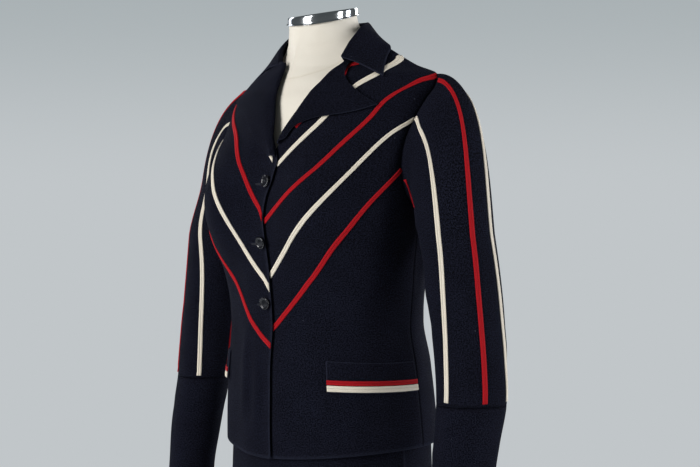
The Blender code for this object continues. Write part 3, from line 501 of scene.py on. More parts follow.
def braid_finish(name, base, deep, groove_shade, sheen):
    """Height = a wave along (length + distance from the middle), with a dip where the plaits meet."""
    material, tree = new_material(
        name, Roughness=0.8, IOR=1.47, Specular_IOR_Level=0.15,
        Sheen_Weight=0.06, Sheen_Roughness=0.4, Sheen_Tint=sheen)
    cloth, across, upward = cloth_place(tree)
    off = maths(tree, "ABSOLUTE", across)
    plait = wave(tree, scaled(tree, scaled(tree, off, 0.9, upward), 1 / PLAIT))
    beside = add(tree, "ShaderNodeMapRange", {"Value": off, "From Min": 0.0, "From Max": GROOVE}).outputs[0]
    dip = maths(tree, "SUBTRACT", 1.0, beside)
    fuzz = noise(tree, cloth, 700.0, 2.0)
    # Painted shade: the colour goes darker between the plaits and in the groove, following the height; the
    # fuzz is random tone.
    tone = scaled(tree, plait, 0.16, scaled(tree, fuzz, 0.7, 0.1))
    colour = blend(tree, scaled(tree, dip, groove_shade), blend(tree, tone, deep, base), deep)
    height = scaled(tree, dip, -1.2, scaled(tree, plait, 0.35, fuzz))
    return finish(material, height, 0.6, 0.0005, Base_Color=colour)


BRAID = {
    "cream": braid_finish("cream_knitted_braid", "#f8f0e3", "#ccc1ab", 0.5, "#fff6e4"),
    "red": braid_finish("red_knitted_braid", "#c5141f", "#7c0a12", 0.35, "#d8606a"),
}

# %% [markdown]
# The form is covered in off-white cotton jersey, pulled smooth. Its ribs are about two millimetres wide and
# only just show. The seam where the neck joins the chest is a shallow groove with a slightly darker line.

# %% Jersey material
RIB = 0.0022


def jersey(name):
    """Height = fine upright ribs plus thread noise; colour = warm white with faint cloudy patches."""
    material, tree = new_material(
        name, Roughness=0.78, IOR=1.46, Specular_IOR_Level=0.25,
        Sheen_Weight=0.2, Sheen_Roughness=0.5, Sheen_Tint="#fffaf0")
    cloth, across, _ = cloth_place(tree)
    thread, seam = noise(tree, cloth, 800.0, 2.0), attribute(tree, "seam")
    tone = scaled(tree, noise(tree, cloth, 14.0, 3.0), 0.5, scaled(tree, thread, 0.35))
    colour = blend(tree, seam, blend(tree, tone, "#d9d1c2", "#eee8dc"), "#c9bda6")
    height = scaled(tree, wave(tree, scaled(tree, across, 1 / RIB)), 0.3, scaled(tree, seam, -2.5, thread))
    return finish(material, height, 0.35, 0.0005, Base_Color=colour)


JERSEY = jersey("off_white_cotton_jersey")

# %% [markdown]
# The hard parts need little: polished chrome on the neck cap, satin steel for the pole, black stove enamel
# on the base, and dark casein for the buttons. A moulded or polished surface still has fine marks, so each
# one gets a noise in its roughness and a trace of unevenness. The buttonholes' thread is made the same way.

# %% Hard materials
def hard(name, base, metal, rough, spread, scale, uneven, coat=0.0):
    """Roughness = its typical value plus noise times spread; bump = the same noise, very shallow."""
    material, tree = new_material(
        name, Base_Color=base, Metallic=metal, Coat_Weight=coat, Coat_Roughness=0.06)
    marks = noise(tree, add(tree, "ShaderNodeTexCoord").outputs["Object"], scale, 3.0)
    return finish(material, marks, uneven, 0.0004, Roughness=scaled(tree, marks, spread, rough - spread / 2))


CHROME = hard("polished_chrome", "#d6dadd", 1.0, 0.13, 0.08, 60.0, 0.05)
STEEL = hard("satin_steel", "#9a9ea3", 1.0, 0.34, 0.12, 220.0, 0.10)
ENAMEL = hard("black_stove_enamel", "#1b1c1f", 0.0, 0.42, 0.14, 320.0, 0.16)
CASEIN = hard("dark_casein_button", "#0a0b12", 0.0, 0.24, 0.10, 240.0, 0.05, coat=0.2)
THREAD = hard("navy_thread", "#101220", 0.0, 0.75, 0.10, 900.0, 0.60)
print("materials:", len(bpy.data.materials))

# %% [markdown]
# A piece of cloth is a wall between an outer and an inner grid of points, with a rounded rim. The rim is one
# more line of points half way between the two faces, pushed out a little, which the smooth shading turns
# into a soft folded edge. Each corner of each face also gets its place on the flat cloth, in metres.

# %% From grids of points to a piece
def cloth_map(grid, zero_column=0):
    """Across = length along the row from zero_column; up = mean length up the columns; both in metres."""
    across = running(grid, 1)
    across = across - across[:, zero_column : zero_column + 1]
    return np.stack([across, running(grid, 0).mean(1, keepdims=True) + 0 * across], -1) * 0.01


def round_again(grid):
    """A grid with its first column once more at the end."""
    return np.concatenate([grid, grid[:, :1]], 1)


def squares(grid):
    """The four corners of each small square of a grid, in order round it."""
    corners = grid[:-1, :-1], grid[:-1, 1:], grid[1:, 1:], grid[1:, :-1]
    return np.stack(corners, 2).reshape(-1, 4, *grid.shape[2:])


def numbered(grid):
    """The number of each point of a grid, row by row."""
    return np.arange(grid.shape[0] * grid.shape[1]).reshape(grid.shape[:2])


def put(name, points, faces, uv, material, marks):
    """One object in metres from points in centimetres.

    Faces are rows of four indices, uv has one pair for each corner, and marks names numbers on the points.
    """
    points = settle(points) * 0.01
    a, b, c, d = (points[faces[:, k]] for k in range(4))
    if (a * (np.cross(b, c) + np.cross(c, d))).sum() < 0:
        faces, uv = faces[:, ::-1], uv[:, ::-1]
    mesh = bpy.data.meshes.new(name)
    mesh.vertices.add(len(points))
    mesh.vertices.foreach_set("co", points.ravel())
    mesh.loops.add(faces.size)
    mesh.loops.foreach_set("vertex_index", faces.ravel().astype(np.int32))
    mesh.polygons.add(len(faces))
    mesh.polygons.foreach_set("loop_start", np.arange(0, faces.size, 4, dtype=np.int32))
    layer = mesh.uv_layers.new(name="cloth")
    layer.data.foreach_set("uv", np.ascontiguousarray(uv, dtype=np.float32).ravel())
    mesh.update(calc_edges=True)
    mesh.validate()
    mesh.polygons.foreach_set("use_smooth", np.ones(len(mesh.polygons), bool))
    mesh.materials.append(material)
    for key, values in marks.items():
        layer = mesh.attributes.new(key, "FLOAT", "POINT")
        layer.data.foreach_set("value", values.ravel().astype(np.float32))
    return show(name, mesh)


def stand_for(piece, node):
    """A piece takes the place of one node of the frame and its finish; its name says it is the fine one."""
    piece.name = "fine_" + node
    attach(piece, "root")
    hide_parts(node)
    return piece


def rim_walk(rows, columns, closed):
    """The rows and columns met on each walk round the rim; each walk ends where it began."""
    low, high = [(0, j) for j in range(columns)], [(rows - 1, j) for j in range(columns)][::-1]
    if closed:
        return [np.array(low).T, np.array(high).T]
    right, left = [(i, columns - 1) for i in range(rows)], [(i, 0) for i in range(rows)][::-1]
    return [np.array(low[:-1] + right[:-1] + high[:-1] + left).T]


FREE, SEWN = 0.35, 0.02


def wall(name, outer, inner, uv, material, closed=False, rim=(FREE,) * 4):
    """Outer and inner grids joined by a rim: half way between them, plus a share of the thickness outwards.

    The four shares are for the first row, the last column, the last row and the first column. The points
    carry the number "edge": 1 on a free rim, less on the cloth beside it, and below 0 on a sewn one. The
    knit paints a highlight where it is above 0 and shade where it is below 0. The name is that of the
    frame's node that the wall stands for.
    """
    rows, columns = outer.shape[:2]
    count = rows * columns
    extra = 2 * count
    index = round_again(numbered(outer)) if closed else numbered(outer)
    faces, uvs = [squares(index), squares(index + count)[:, ::-1]], [squares(uv), squares(uv)[:, ::-1]]
    middle = (outer + inner) / 2
    points, painted_light_marks = [outer.reshape(-1, 3), inner.reshape(-1, 3)], [np.zeros(2 * count)]
    first, right, last, left = rim
    for i, j in rim_walk(*index.shape, closed):
        ring = index[i, j]
        oi, oj = ring // columns, ring % columns
        ii, jj = np.clip(oi, 1, rows - 2), oj if closed else np.clip(oj, 1, columns - 2)
        away = unit(middle[oi, oj] - middle[ii, jj])
        thick = np.linalg.norm(outer[oi, oj] - inner[oi, oj], axis=1)
        share = np.where(oi == 0, first, np.where(oi == rows - 1, last, np.where(oj == 0, left, right)))
        points.append((middle[oi, oj] + away * (thick * share)[:, None])[:-1])
        # Painted light and shade: 1 on a free rim asks the knit for a painted highlight, -0.5 on a sewn rim
        # for painted shade.
        light_shade_mark = np.where(share > 0.3, 1.0, np.where(share < 0.05, -0.5, 0.0))
        painted_light_marks[0][ring] = np.where(light_shade_mark > 0, 0.45, light_shade_mark)
        painted_light_marks.append(light_shade_mark[:-1])
        edge = extra + np.append(np.arange(len(ring) - 1), 0)
        extra += len(ring) - 1
        up = uv[i, j]
        for low, high in ((ring, edge), (edge, ring + count)):
            faces.append(np.stack([low[1:], low[:-1], high[:-1], high[1:]], -1))
            uvs.append(np.stack([up[1:], up[:-1], up[:-1], up[1:]], 1))
    parts = (np.concatenate(part) for part in (points, faces, uvs))
    return stand_for(put(name, *parts, material, {"edge": np.concatenate(painted_light_marks)}), name)


def declare(piece, outer, closed=False):
    """Says how big the cut is: longest row by middling column, and the area of the outer face."""
    grid = round_again(outer) if closed else outer
    wide = running(grid, 1)[:, -1].max() * 0.01
    long = np.median(running(grid, 0)[-1]) * 0.01
    a, b, c, d = np.moveaxis(squares(grid), 1, 0)
    area = np.linalg.norm(np.cross(c - a, d - b), axis=-1).sum() / 2 * 1e-4
    area = min(area, wide * long)
    print(f"{piece.name}: cut {wide * 100:.1f} x {long * 100:.1f} cm, {area * 1e4:.0f} cm2")


# %% [markdown]
# The fronts and the back. A row of the grid runs round the body at one level, from the front edge to the
# side seam, the armhole or the shoulder seam. Rows and seams come from the same tables as the solids, so a
# front meets the back and the sleeve with only a seam's width between them. The hem dips a little in front,
# as it does in the photo.

# %% Fronts and back
def ring_curve(column, turn):
    """The armhole's angle or level: a closed curve whose slope at a row is that between its neighbours."""
    x = np.concatenate([ARMHOLE[-2:-1, 0] - 360, ARMHOLE[:, 0], ARMHOLE[1:2, 0] + 360])
    y = np.concatenate([ARMHOLE[-2:-1, column], ARMHOLE[:, column], ARMHOLE[1:2, column]])
    slope = (y[2:] - y[:-2]) / (x[2:] - x[:-2])
    turn = np.asarray(turn, float) % 360
    k = np.clip(np.searchsorted(x, turn, side="right") - 1, 1, len(x) - 3)
    span = x[k + 1] - x[k]
    return hermite((turn - x[k]) / span, y[k], y[k + 1], span * slope[k - 1], span * slope[k])


def side_seam(level):
    """Angle of the side seam, which runs a little back below the armhole."""
    return np.radians(92 + 5.5 * ramp(-np.asarray(level, float), -UNDERARM, -111.0))


def hem_level(angle, level):
    """The hem dips a little at the front; rows above it follow less and less."""
    dip = 1.5 * np.abs(np.sin(np.clip(np.abs(angle), 0, math.pi / 2))) ** 1.5 - 0.1
    return level + dip * np.clip(1 - (level - HEM) / 9, 0, 1)


def rows_and_seams(front):
    """Levels of the rows and the angle of the seam at each: side seam, armhole, shoulder seam."""
    low = np.linspace(HEM, UNDERARM, 64)
    turns = np.linspace(0, 180, 46)[1:]
    turns = turns if front else 360 - turns
    high = np.linspace(SHOULDER, 144.7, 14)[1:]
    level = np.concatenate([low, ring_curve(2, turns), high])
    return level, np.concatenate([side_seam(low), np.radians(ring_curve(1, turns)), 0 * high + math.pi / 2])


def even_rows(level, start, end, columns, trim):
    """Angles evenly spaced along the section at each level, with trim centimetres cut off the ends."""
    fine = start[:, None] + (end - start)[:, None] * np.linspace(0, 1, 200)
    high = curve(EASE, 1, level)[:, None, None]
    along = running(body(fine, level[:, None]) + normal(fine, level[:, None]) * high, 1)
    at = np.linspace(0, 1, columns)
    spots = [trim[0] + (row[-1] - trim[0] - trim[1]) * at for row in along]
    return np.array([np.interp(s, row, a) for s, row, a in zip(spots, along, fine)])


def over_form(name, angle, level, height, thick, zero_column, material, closed=False, rim=(FREE,) * 4):
    """A wall whose outer face stands height above the form, and that face."""
    out, base, high = normal(angle, level), body(angle, level), np.asarray(height)[..., None]
    outer = base + out * high
    uv = cloth_map(round_again(outer) if closed else outer, zero_column)
    return wall(name, outer, base + out * (high - thick), uv, material, closed, rim), outer


def panel(name, angle, level, height, zero_column, rim):
    """A panel of the jacket; height is a function of the angle and the level."""
    at = hem_level(angle, level[:, None] + 0 * angle)
    at[0] += 0.05
    return over_form(name, angle, at, height(angle, at), CLOTH, zero_column, NAVY, rim=rim)


def front_panel(side, edge, name):
    """From the front edge to the seam; side is 1 for the wearer's left and -1 for the right."""
    level, seam = rows_and_seams(True)
    own = even_rows(level, angle_at(curve(edge, 1, level), level), seam, 64, (TRIM, TRIM))
    rim = (FREE, SEWN, SEWN, FREE)
    return panel(name, side * own, level, lambda a, z: front_height(side, a, z), 0, rim)


def back_height(angle, level):
    """The jacket's height with a dip along the back's two seams."""
    return jacket_height(angle, level) + valley(math.pi - np.abs(angle - math.pi), level, False)


def back_panel():
    """From seam to seam over the centre back: one half, then its mirror image."""
    level, seam = rows_and_seams(False)
    half = even_rows(level, seam, 0 * level + math.pi, 56, (TRIM, 0.0))
    angle = np.concatenate([half, (2 * math.pi - half[:, :-1])[:, ::-1]], 1)
    return panel("back", angle, level, back_height, 55, (FREE, SEWN, SEWN, SEWN))


front_left, front_left_grid = front_panel(1, LEFT_EDGE, "front_left")
front_right, front_right_grid = front_panel(-1, RIGHT_EDGE, "front_right")
back, back_grid = back_panel()
declare(back, back_grid)

# %% [markdown]
# A set-in sleeve starts at the armhole seam and rises a little before it turns down, because more cloth is
# cut for the head than the armhole takes. Its point at a turn and a distance along is a cubic from the seam
# to an oval, then the oval itself down to the wrist. Soft creases gather inside the elbow and under the
# head. Below the seam where the stripes end, the sleeve is one plain piece.

# %% Sleeves
# turn and distance along of one end of a crease, then of the other, half width, height
SLEEVE_FOLDS = np.array([
    [20, 0.55, 75, 0.80, 0.9, -0.16], [30, 0.85, 85, 1.06, 1.0, 0.12], [350, 1.02, 60, 1.22, 1.1, -0.14],
    [10, 1.30, 70, 1.42, 0.9, 0.11], [300, 1.36, 20, 1.50, 1.1, -0.13], [30, 1.52, 95, 1.62, 1.0, -0.10],
    [250, 0.62, 300, 0.90, 1.1, -0.13], [255, 1.10, 320, 1.30, 1.2, 0.11], [110, 1.45, 165, 1.58, 1.3, -0.07],
    [100, 0.42, 112, 0.80, 1.0, -0.08], [200, 1.62, 270, 1.74, 1.2, 0.08], [330, 2.20, 60, 2.45, 1.0, 0.10],
    [150, 2.30, 215, 2.50, 1.2, -0.07],
])
# degrees and level of the middle of the armhole
HOLE_TURN, HOLE_LEVEL = 94, 132.0


def armhole(turn, inward):
    """A point of the armhole seam, moved towards the middle of the hole by inward."""
    angle, level = np.radians(ring_curve(1, turn)), ring_curve(2, turn)
    way = unit(np.stack([SIDE_RADIUS * (math.radians(HOLE_TURN) - angle), HOLE_LEVEL - level], -1)) * inward
    angle, level = angle + way[..., 0] / SIDE_RADIUS, level + way[..., 1]
    point = body(angle, level) + normal(angle, level) * (curve(EASE, 1, level) - 0.14)[..., None]
    return point + np.array([inward * 0.6, 0, 0])


def sleeve_ring(turn, level):
    """The sleeve's oval: its long axis runs forward and out."""
    x, y, long_half, short_half = (curve(SLEEVE, k, level) for k in range(1, 5))
    spin = np.radians(225 - np.asarray(turn, float))
    a, b = long_half * np.cos(spin) * math.sqrt(0.5), short_half * np.sin(spin) * math.sqrt(0.5)
    return np.stack([x + a + b, y + a - b, level + 0 * a], -1)


def sleeve(turn, along):
    """0 at the armhole, 1 where the head ends, 2 at the seam under the stripes, 3 at the wrist.

    The head is a cubic that leaves the seam along out, most at the crown, and meets the oval along down.
    """
    turn, along = spread(turn, along)
    start, end = armhole(turn, -0.12), sleeve_ring(turn, HEAD_END + 0 * turn)
    span = end - start
    crown = np.clip(-np.cos(np.radians(turn)), 0, 1)[..., None] ** 2
    out = span * np.array([2.3, 2.3, 0.0]) + crown * np.array([0.5, 0.5, 1.5])
    down = span * np.array([0.0, 0.0, 1.6])
    down[..., 0] = 3.9
    head = hermite(np.clip(along, 0, 1)[..., None], start, end, out, down)
    upper = HEAD_END + (CUFF_LEVEL - HEAD_END) * (along - 1)
    lower = CUFF_LEVEL + (SLEEVE_END - CUFF_LEVEL) * (along - 2)
    tube = sleeve_ring(turn, np.minimum(np.where(along < 2, upper, lower), HEAD_END))
    return np.where(along[..., None] <= 1, head, tube)


def sleeve_out(turn, along):
    """Outward direction of the sleeve: a step down crossed with a step round."""
    turn, along = spread(turn, along)
    down = sleeve(turn, np.clip(along + 0.02, 0, 3)) - sleeve(turn, np.clip(along - 0.02, 0, 3))
    return unit(np.cross(down, sleeve(turn + 3, along) - sleeve(turn - 3, along)))


def sleeve_crease(turn, along):
    """The same bell curves as the jacket's, on the unrolled sleeve, a faint waviness, and two seams' dips."""
    total = 0.03 * np.sin(np.radians(turn) * 3 + along * 5) + 0.022 * np.sin(np.radians(turn) * 2 - along * 9)
    total = total + creases(
        SLEEVE_FOLDS, turn, along, apart=turn_between, scale=(0.085, 20.0), sway=0.0, reach=(-0.2, 1.2))
    seams = 0.02 * np.exp(-((along / 0.025) ** 2)) + 0.03 * np.exp(-(((along - 2) / 0.014) ** 2))
    return total * ramp(along, 0.05, 0.3) * (1 - ramp(along, 2.9, 3.0)) - seams


def on_sleeve(side, turn, along, more=0.0):
    """A point of the sleeve's outer face, with its creases, moved out by more."""
    turn, along = spread(turn, along)
    high = sleeve_crease(turn + 13 * (1 - side), along) + more
    return (sleeve(turn, along) + sleeve_out(turn, along) * np.asarray(high)[..., None]) * (side, 1, 1)


def sleeve_tube(side, name, first, last, rows, rim):
    """A tube of the sleeve between two distances along it; at the armhole its inner face follows the seam."""
    turn, along = np.meshgrid(np.arange(88) * 360 / 88, np.linspace(first, last, rows))
    outer, inner = on_sleeve(side, turn, along), on_sleeve(side, turn, along, -CLOTH)
    if first == 0:
        near = sleeve(turn[0], 0.0) - sleeve_out(turn[0], 0.06) * CLOTH
        inner[0] = near * (side, 1, 1)
    uv = cloth_map(round_again(outer))
    return wall(name, outer, inner, uv * (1, -1), NAVY, closed=True, rim=rim), outer


SIDES = ((1, "left"), (-1, "right"))
CUFF_SHIFT = {"left": 0.0, "right": 0.06}
sleeves = {}
for side, word in SIDES:
    seam_at = 2.0 + CUFF_SHIFT[word]
    sleeves[word] = sleeve_tube(side, "sleeve_" + word, 0.0, seam_at - 0.002, 96, (SEWN, 0, SEWN, 0))
    end, end_grid = sleeve_tube(side, "sleeve_end_" + word, seam_at + 0.002, 3.0, 40, (SEWN, 0, FREE, 0))
    declare(end, end_grid, closed=True)

# %% [markdown]
# Braid. The table of each stripe gives the angle and level of its middle line. At each point along it we
# find which way is across, step that far on the cloth itself, and ask the cloth for its place there. The
# braid's section is a low dome with a groove along the middle, so its edges sink to the knit.

# %% Braid on the fronts
SHOULDER_BAND = [[54, 141.3], [75, 142.75], [89, 143.4]]
LEFT_BRAIDS = {
    "red_top": [[14, 133.6], [23, 137.0], [30, 140.6], [36.6, 141.95], [44, 142.47], [52, 142.88]],
    "cream_top": [[2, 126.8], [9, 128.6], [18, 131.4], [28, 134.6], [36, 137.8], [43, 139.9]] + SHOULDER_BAND,
    "red_mid": [[0, 120.3], [8, 121.8], [20, 124.1], [31, 127.4], [41, 131.2], [51, 134.7], [58, 137.6],
                [71, 139.9], [88.5, 140.6]],
    "cream_low": [[0, 112.2], [4, 113.6], [12, 116.2], [22, 118.9], [32, 121.6], [41, 124.5], [53, 129.1],
                  [65, 132.8], [80, 135.3]],
    "red_low": [[0, 103.8], [6, 105.7], [13, 108.0], [22, 110.9], [31, 113.8], [44, 118.0], [54, 120.9],
                [64, 124.3], [78, 128.5]],
}
RIGHT_BRAIDS = {
    "red_top": [[12, 137.0], [20, 138.6], [28, 140.4], [37, 142.2], [44, 143.1]],
    "cream_top": [[-10, 128.2], [-4, 129.6], [2, 131.9], [10, 134.9], [20, 137.5],
                  [36, 139.8]] + SHOULDER_BAND,
    "red_mid": [[-12, 119.1], [-6, 121.0], [3, 124.4], [10.5, 127.8], [22, 132.0], [35, 134.7], [46, 136.7],
                [58, 138.4], [72, 139.9], [88.5, 140.6]],
    "cream_low": [[-10, 110.9], [-2.5, 113.1], [7, 116.2], [17, 120.8], [23, 123.8], [29, 126.8], [38, 129.6],
                  [51, 131.5], [66, 133.4], [80, 134.9]],
    "red_low": [[-14, 101.4], [-8, 102.6], [2, 104.4], [11, 107.2], [19.5, 110.3], [29, 113.6], [43, 117.8],
                [54, 120.9], [64, 124.3], [78, 128.5]],
}
BRAID_WIDE = 0.7
# share across the braid, height of its outer face
DOME = np.array([
    [-0.5, 0.03], [-0.49, 0.08], [-0.44, 0.125], [-0.3, 0.15], [-0.12, 0.152], [-0.04, 0.13], [0.0, 0.115],
    [0.04, 0.13], [0.12, 0.152], [0.3, 0.15], [0.44, 0.125], [0.49, 0.08], [0.5, 0.03],
])
# centimetres between two points along a stripe of the fronts
BRAID_STEP = 0.35
# height of the braid's underside above the cloth
BRAID_GAP = 0.012


def through(table, at):
    """Catmull-Rom through the rows of a table at fractional row numbers."""
    table = np.asarray(table, float)
    ends = np.vstack([2 * table[0] - table[1], table, 2 * table[-1] - table[-2]])
    k = np.clip(at.astype(int), 0, len(table) - 2)
    t = (at - k)[:, None]
    a, b, c, d = (ends[k + j] for j in range(4))
    return 0.5 * (2 * b + (c - a) * t + (2 * a - 5 * b + 4 * c - d) * t**2 + (3 * b - a - 3 * c + d) * t**3)


def smooth(points, count):
    """Points evenly along a Catmull-Rom line through the given ones."""
    last = len(points) - 1
    fine = through(points, np.linspace(0, last, 24 * last + 1))
    along = running(fine)
    at = np.linspace(0, along[-1], count)
    return np.stack([np.interp(at, along, column) for column in fine.T], -1)


def lay_braid(name, place, one, two, step, colour, wide=BRAID_WIDE, inside=None):
    """place(one, two, more) is the cloth; the braid's across direction is found in the two numbers.

    Where inside is given, each line of the braid starts where inside turns positive, so the end is cut
    along the edge of the cloth.
    """
    middle = place(one, two, 0.0)
    t_one = (place(one + step[0], two, 0.0) - place(one - step[0], two, 0.0)) / (2 * step[0])
    t_two = (place(one, two + step[1], 0.0) - place(one, two - step[1], 0.0)) / (2 * step[1])
    across = unit(np.cross(np.cross(t_one, t_two), np.gradient(middle, axis=0)))
    off = DOME[None, :, 0] * wide
    a, b = (at[:, None] + ((across * t).sum(1) / (t**2).sum(1))[:, None] * off
            for at, t in ((one, t_one), (two, t_two)))
    run = running(middle)[:, None] * 0.01 + 0 * a
    if inside is not None:
        row = np.arange(len(a), dtype=float)
        for j, gone in enumerate(inside(a, b).T):
            k = int(np.argmax(gone > 0))
            begin = 0.0 if k == 0 else k - gone[k] / (gone[k] - gone[k - 1])
            at = begin + (row[-1] - begin) * row / row[-1]
            a[:, j], b[:, j], run[:, j] = (np.interp(at, row, line[:, j].copy()) for line in (a, b, run))
    outer, inner = place(a, b, DOME[None, :, 1] + 0 * a), place(a, b, BRAID_GAP + 0 * a)
    uv = np.stack([0.01 * off + 0 * a, run], -1)
    return wall(name, outer, inner, uv, BRAID[colour], rim=(0.1,) * 4)


def front_braids(side, word):
    """A stripe starts beside the right front's edge and ends at the armhole or the shoulder seam."""
    level_of, seam = rows_and_seams(True)
    made = []
    for key, table in (LEFT_BRAIDS if side > 0 else RIGHT_BRAIDS).items():
        fine = smooth(np.array(table, float) * (0.25, 1.0), 500) / (0.25, 1.0)
        own, level = np.radians(fine[:, 0]), fine[:, 1]
        x = side * body(side * own, level)[:, 0]
        least = curve(RIGHT_EDGE, 1, level) - 0.5
        if side > 0:
            beside = -curve(RIGHT_EDGE, 1, level) - 0.3
            least = np.where(level < 130.3, beside, curve(LEFT_EDGE, 1, level) + 0.4)
        most = np.interp(level, level_of, seam) - 0.1 / SIDE_RADIUS
        keep = (x >= least) & (own <= most)
        own, level = own[keep], level[keep]
        run = running(on_front(side, own, level))
        at = np.linspace(0, run[-1], max(8, int(run[-1] / BRAID_STEP)))
        own, level = np.interp(at, run, own), np.interp(at, run, level)
        stop = 0.9 if key == "cream_top" else 0.0
        cut = None if side > 0 else lambda a, b: -body(-a, b)[..., 0] - curve(RIGHT_EDGE, 1, b) - stop
        made.append(lay_braid(
            f"braid_{key}_{word}", lambda a, b, more: on_front(side, a, b, more), own, level, (0.01, 0.15),
            key.split("_")[0], inside=cut))
    return made


left_stripes = front_braids(1, "left")
right_stripes = front_braids(-1, "right")
declare(front_left, front_left_grid)
declare(front_right, front_right_grid)
print("stripes on the fronts:", len(left_stripes) + len(right_stripes))

# %% [markdown]
# Each sleeve carries four stripes of the same braid. A table gives how far round the sleeve a stripe lies at
# six distances along it, and the stripes run down to the seam above the plain end.

# %% Braid on the sleeves
# turn round the sleeve at six distances along it, for the left sleeve and the right one
BRAID_AT = [0.0, 0.22, 0.5, 0.9, 1.4, 1.99]
SLEEVE_BRAIDS = {
    "red_inner": ([46, 36, 20, 10, 8, 8], [50, 46, 34, 12, -4, -14]),
    "cream_front": ([104, 97, 100, 104, 96, 86], [109, 110, 107, 92, 68, 53]),
    "red_top": ([158, 154, 155, 155, 152, 153], [176, 168, 160, 146, 138, 134]),
    "cream_back": ([220, 207, 197, 193, 197, 208], [220, 208, 196, 184, 180, 180]),
}

for side, word in SIDES:
    for key, both in SLEEVE_BRAIDS.items():
        table = np.stack([BRAID_AT, both[0] if side > 0 else both[1]], -1).astype(float)
        along = np.linspace(0.03 if key != "red_inner" else 0.1, 1.975 + CUFF_SHIFT[word], 130)
        lay_braid(
            f"sleeve_{key}_{word}", lambda a, b, more: on_sleeve(side, a, b, more), curve(table, 1, along),
            along, (1.0, 0.01), key.split("_")[0])
    piece, grid = sleeves[word]
    declare(piece, grid, closed=True)
print("stripes on the sleeves:", 2 * len(SLEEVE_BRAIDS))

# %% [markdown]
# The lapels are the fronts' own upper corners turned back along a roll. The table gives, row by row, where
# the fold and the free edge lie; across a row the cloth rises over the roll and comes down to rest just
# above the front. Rows are joined by curves that stop at the point of the lapel, which keeps it sharp.

# %% Lapels
# own side: x and level of the fold, x and level of the free edge
LEFT_LAPEL = np.array([
    [2.5, 131.3, 3.6, 131.9], [2.8, 132.6, 4.3, 133.3], [3.3, 133.7, 5.6, 134.1], [3.8, 134.7, 7.3, 134.7],
    [4.3, 135.6, 9.0, 135.0], [4.7, 136.5, 10.7, 135.3], [5.1, 137.4, 12.5, 135.8], [5.5, 138.3, 14.3, 136.6],
    [5.9, 139.3, 12.3, 137.9], [6.3, 140.3, 10.3, 139.3], [6.7, 141.3, 8.8, 140.7], [7.0, 142.2, 7.95, 141.8],
    [7.2, 143.0, 7.7, 142.7], [7.4, 143.7, 7.8, 143.5],
])
RIGHT_LAPEL = np.array([
    [-2.85, 129.4, -1.7, 129.4], [-2.0, 130.6, 0.4, 130.55], [-1.3, 132.0, 2.4, 132.05],
    [-0.9, 133.3, 4.2, 133.6], [-0.55, 134.6, 5.8, 135.0], [-0.1, 135.9, 7.7, 136.2],
    [0.3, 137.2, 10.2, 137.4], [0.6, 138.4, 13.5, 138.8], [0.8, 139.3, 12.2, 139.6],
    [0.9, 140.2, 10.8, 140.3], [0.95, 141.1, 9.4, 141.0], [1.0, 142.0, 8.2, 141.6], [1.1, 142.8, 7.4, 142.2],
    [1.5, 143.5, 6.8, 142.8],
])
POINT_ROW = 7
# share of the lapel's width, plus centimetres, height above the front
LAPEL_ROLL = np.array([
    [0.0, 0.02, 0.07], [0.0, -0.24, 0.36], [0.0, 0.02, 0.72], [0.16, 0.05, 0.82], [0.32, 0.0, 0.78],
    [0.48, 0.0, 0.71], [0.62, 0.0, 0.65], [0.75, 0.0, 0.60], [0.88, 0.0, 0.56], [1.0, 0.0, 0.53],
])


def outward(grid, row, column, like):
    """Directions square to a grid, turned so that the one at row, column goes the way of like."""
    way = unit(np.cross(np.gradient(grid, axis=0), np.gradient(grid, axis=1)))
    return way * np.sign((way[row, column] * like).sum())


def lapel(side, table, name):
    """Rows up the roll, columns from the root over the roll to the free edge."""
    low = through(table[: POINT_ROW + 1], np.linspace(0, POINT_ROW, 50))
    top = through(table[POINT_ROW:], np.linspace(0, len(table) - 1 - POINT_ROW, 30))
    row = np.concatenate([low, top[1:]])
    roll = through(LAPEL_ROLL, np.linspace(0, len(LAPEL_ROLL) - 1, 55))
    fold, free = row[:, None, :2], row[:, None, 2:]
    wide = np.linalg.norm(free - fold, axis=-1)
    share = roll[None, :, 0] + roll[None, :, 1] / wide * (1 - roll[None, :, 0])
    spot = fold + (free - fold) * share[..., None]
    own = angle_at(spot[..., 0], spot[..., 1])
    outer = on_front(side, own, spot[..., 1], roll[None, :, 2] + 0 * own)
    way = outward(outer, 40, 30, normal(side * own, spot[..., 1])[40, 30])
    return wall(name, outer, outer - way * THIN_CLOTH, cloth_map(outer, 54), NAVY), outer


for (side, word), table in zip(SIDES, (LEFT_LAPEL, RIGHT_LAPEL)):
    piece, grid = lapel(side, table, "lapel_" + word)
    declare(piece, grid)

# %% [markdown]
# The collar is one strip: it stands up inside the neck, folds over, and falls on the shoulders. For each
# angle round the neck the table gives the free edge, the top of the fold and the foot. Seven points across
# are joined by a smooth line, and the lines are joined smoothly round the neck.

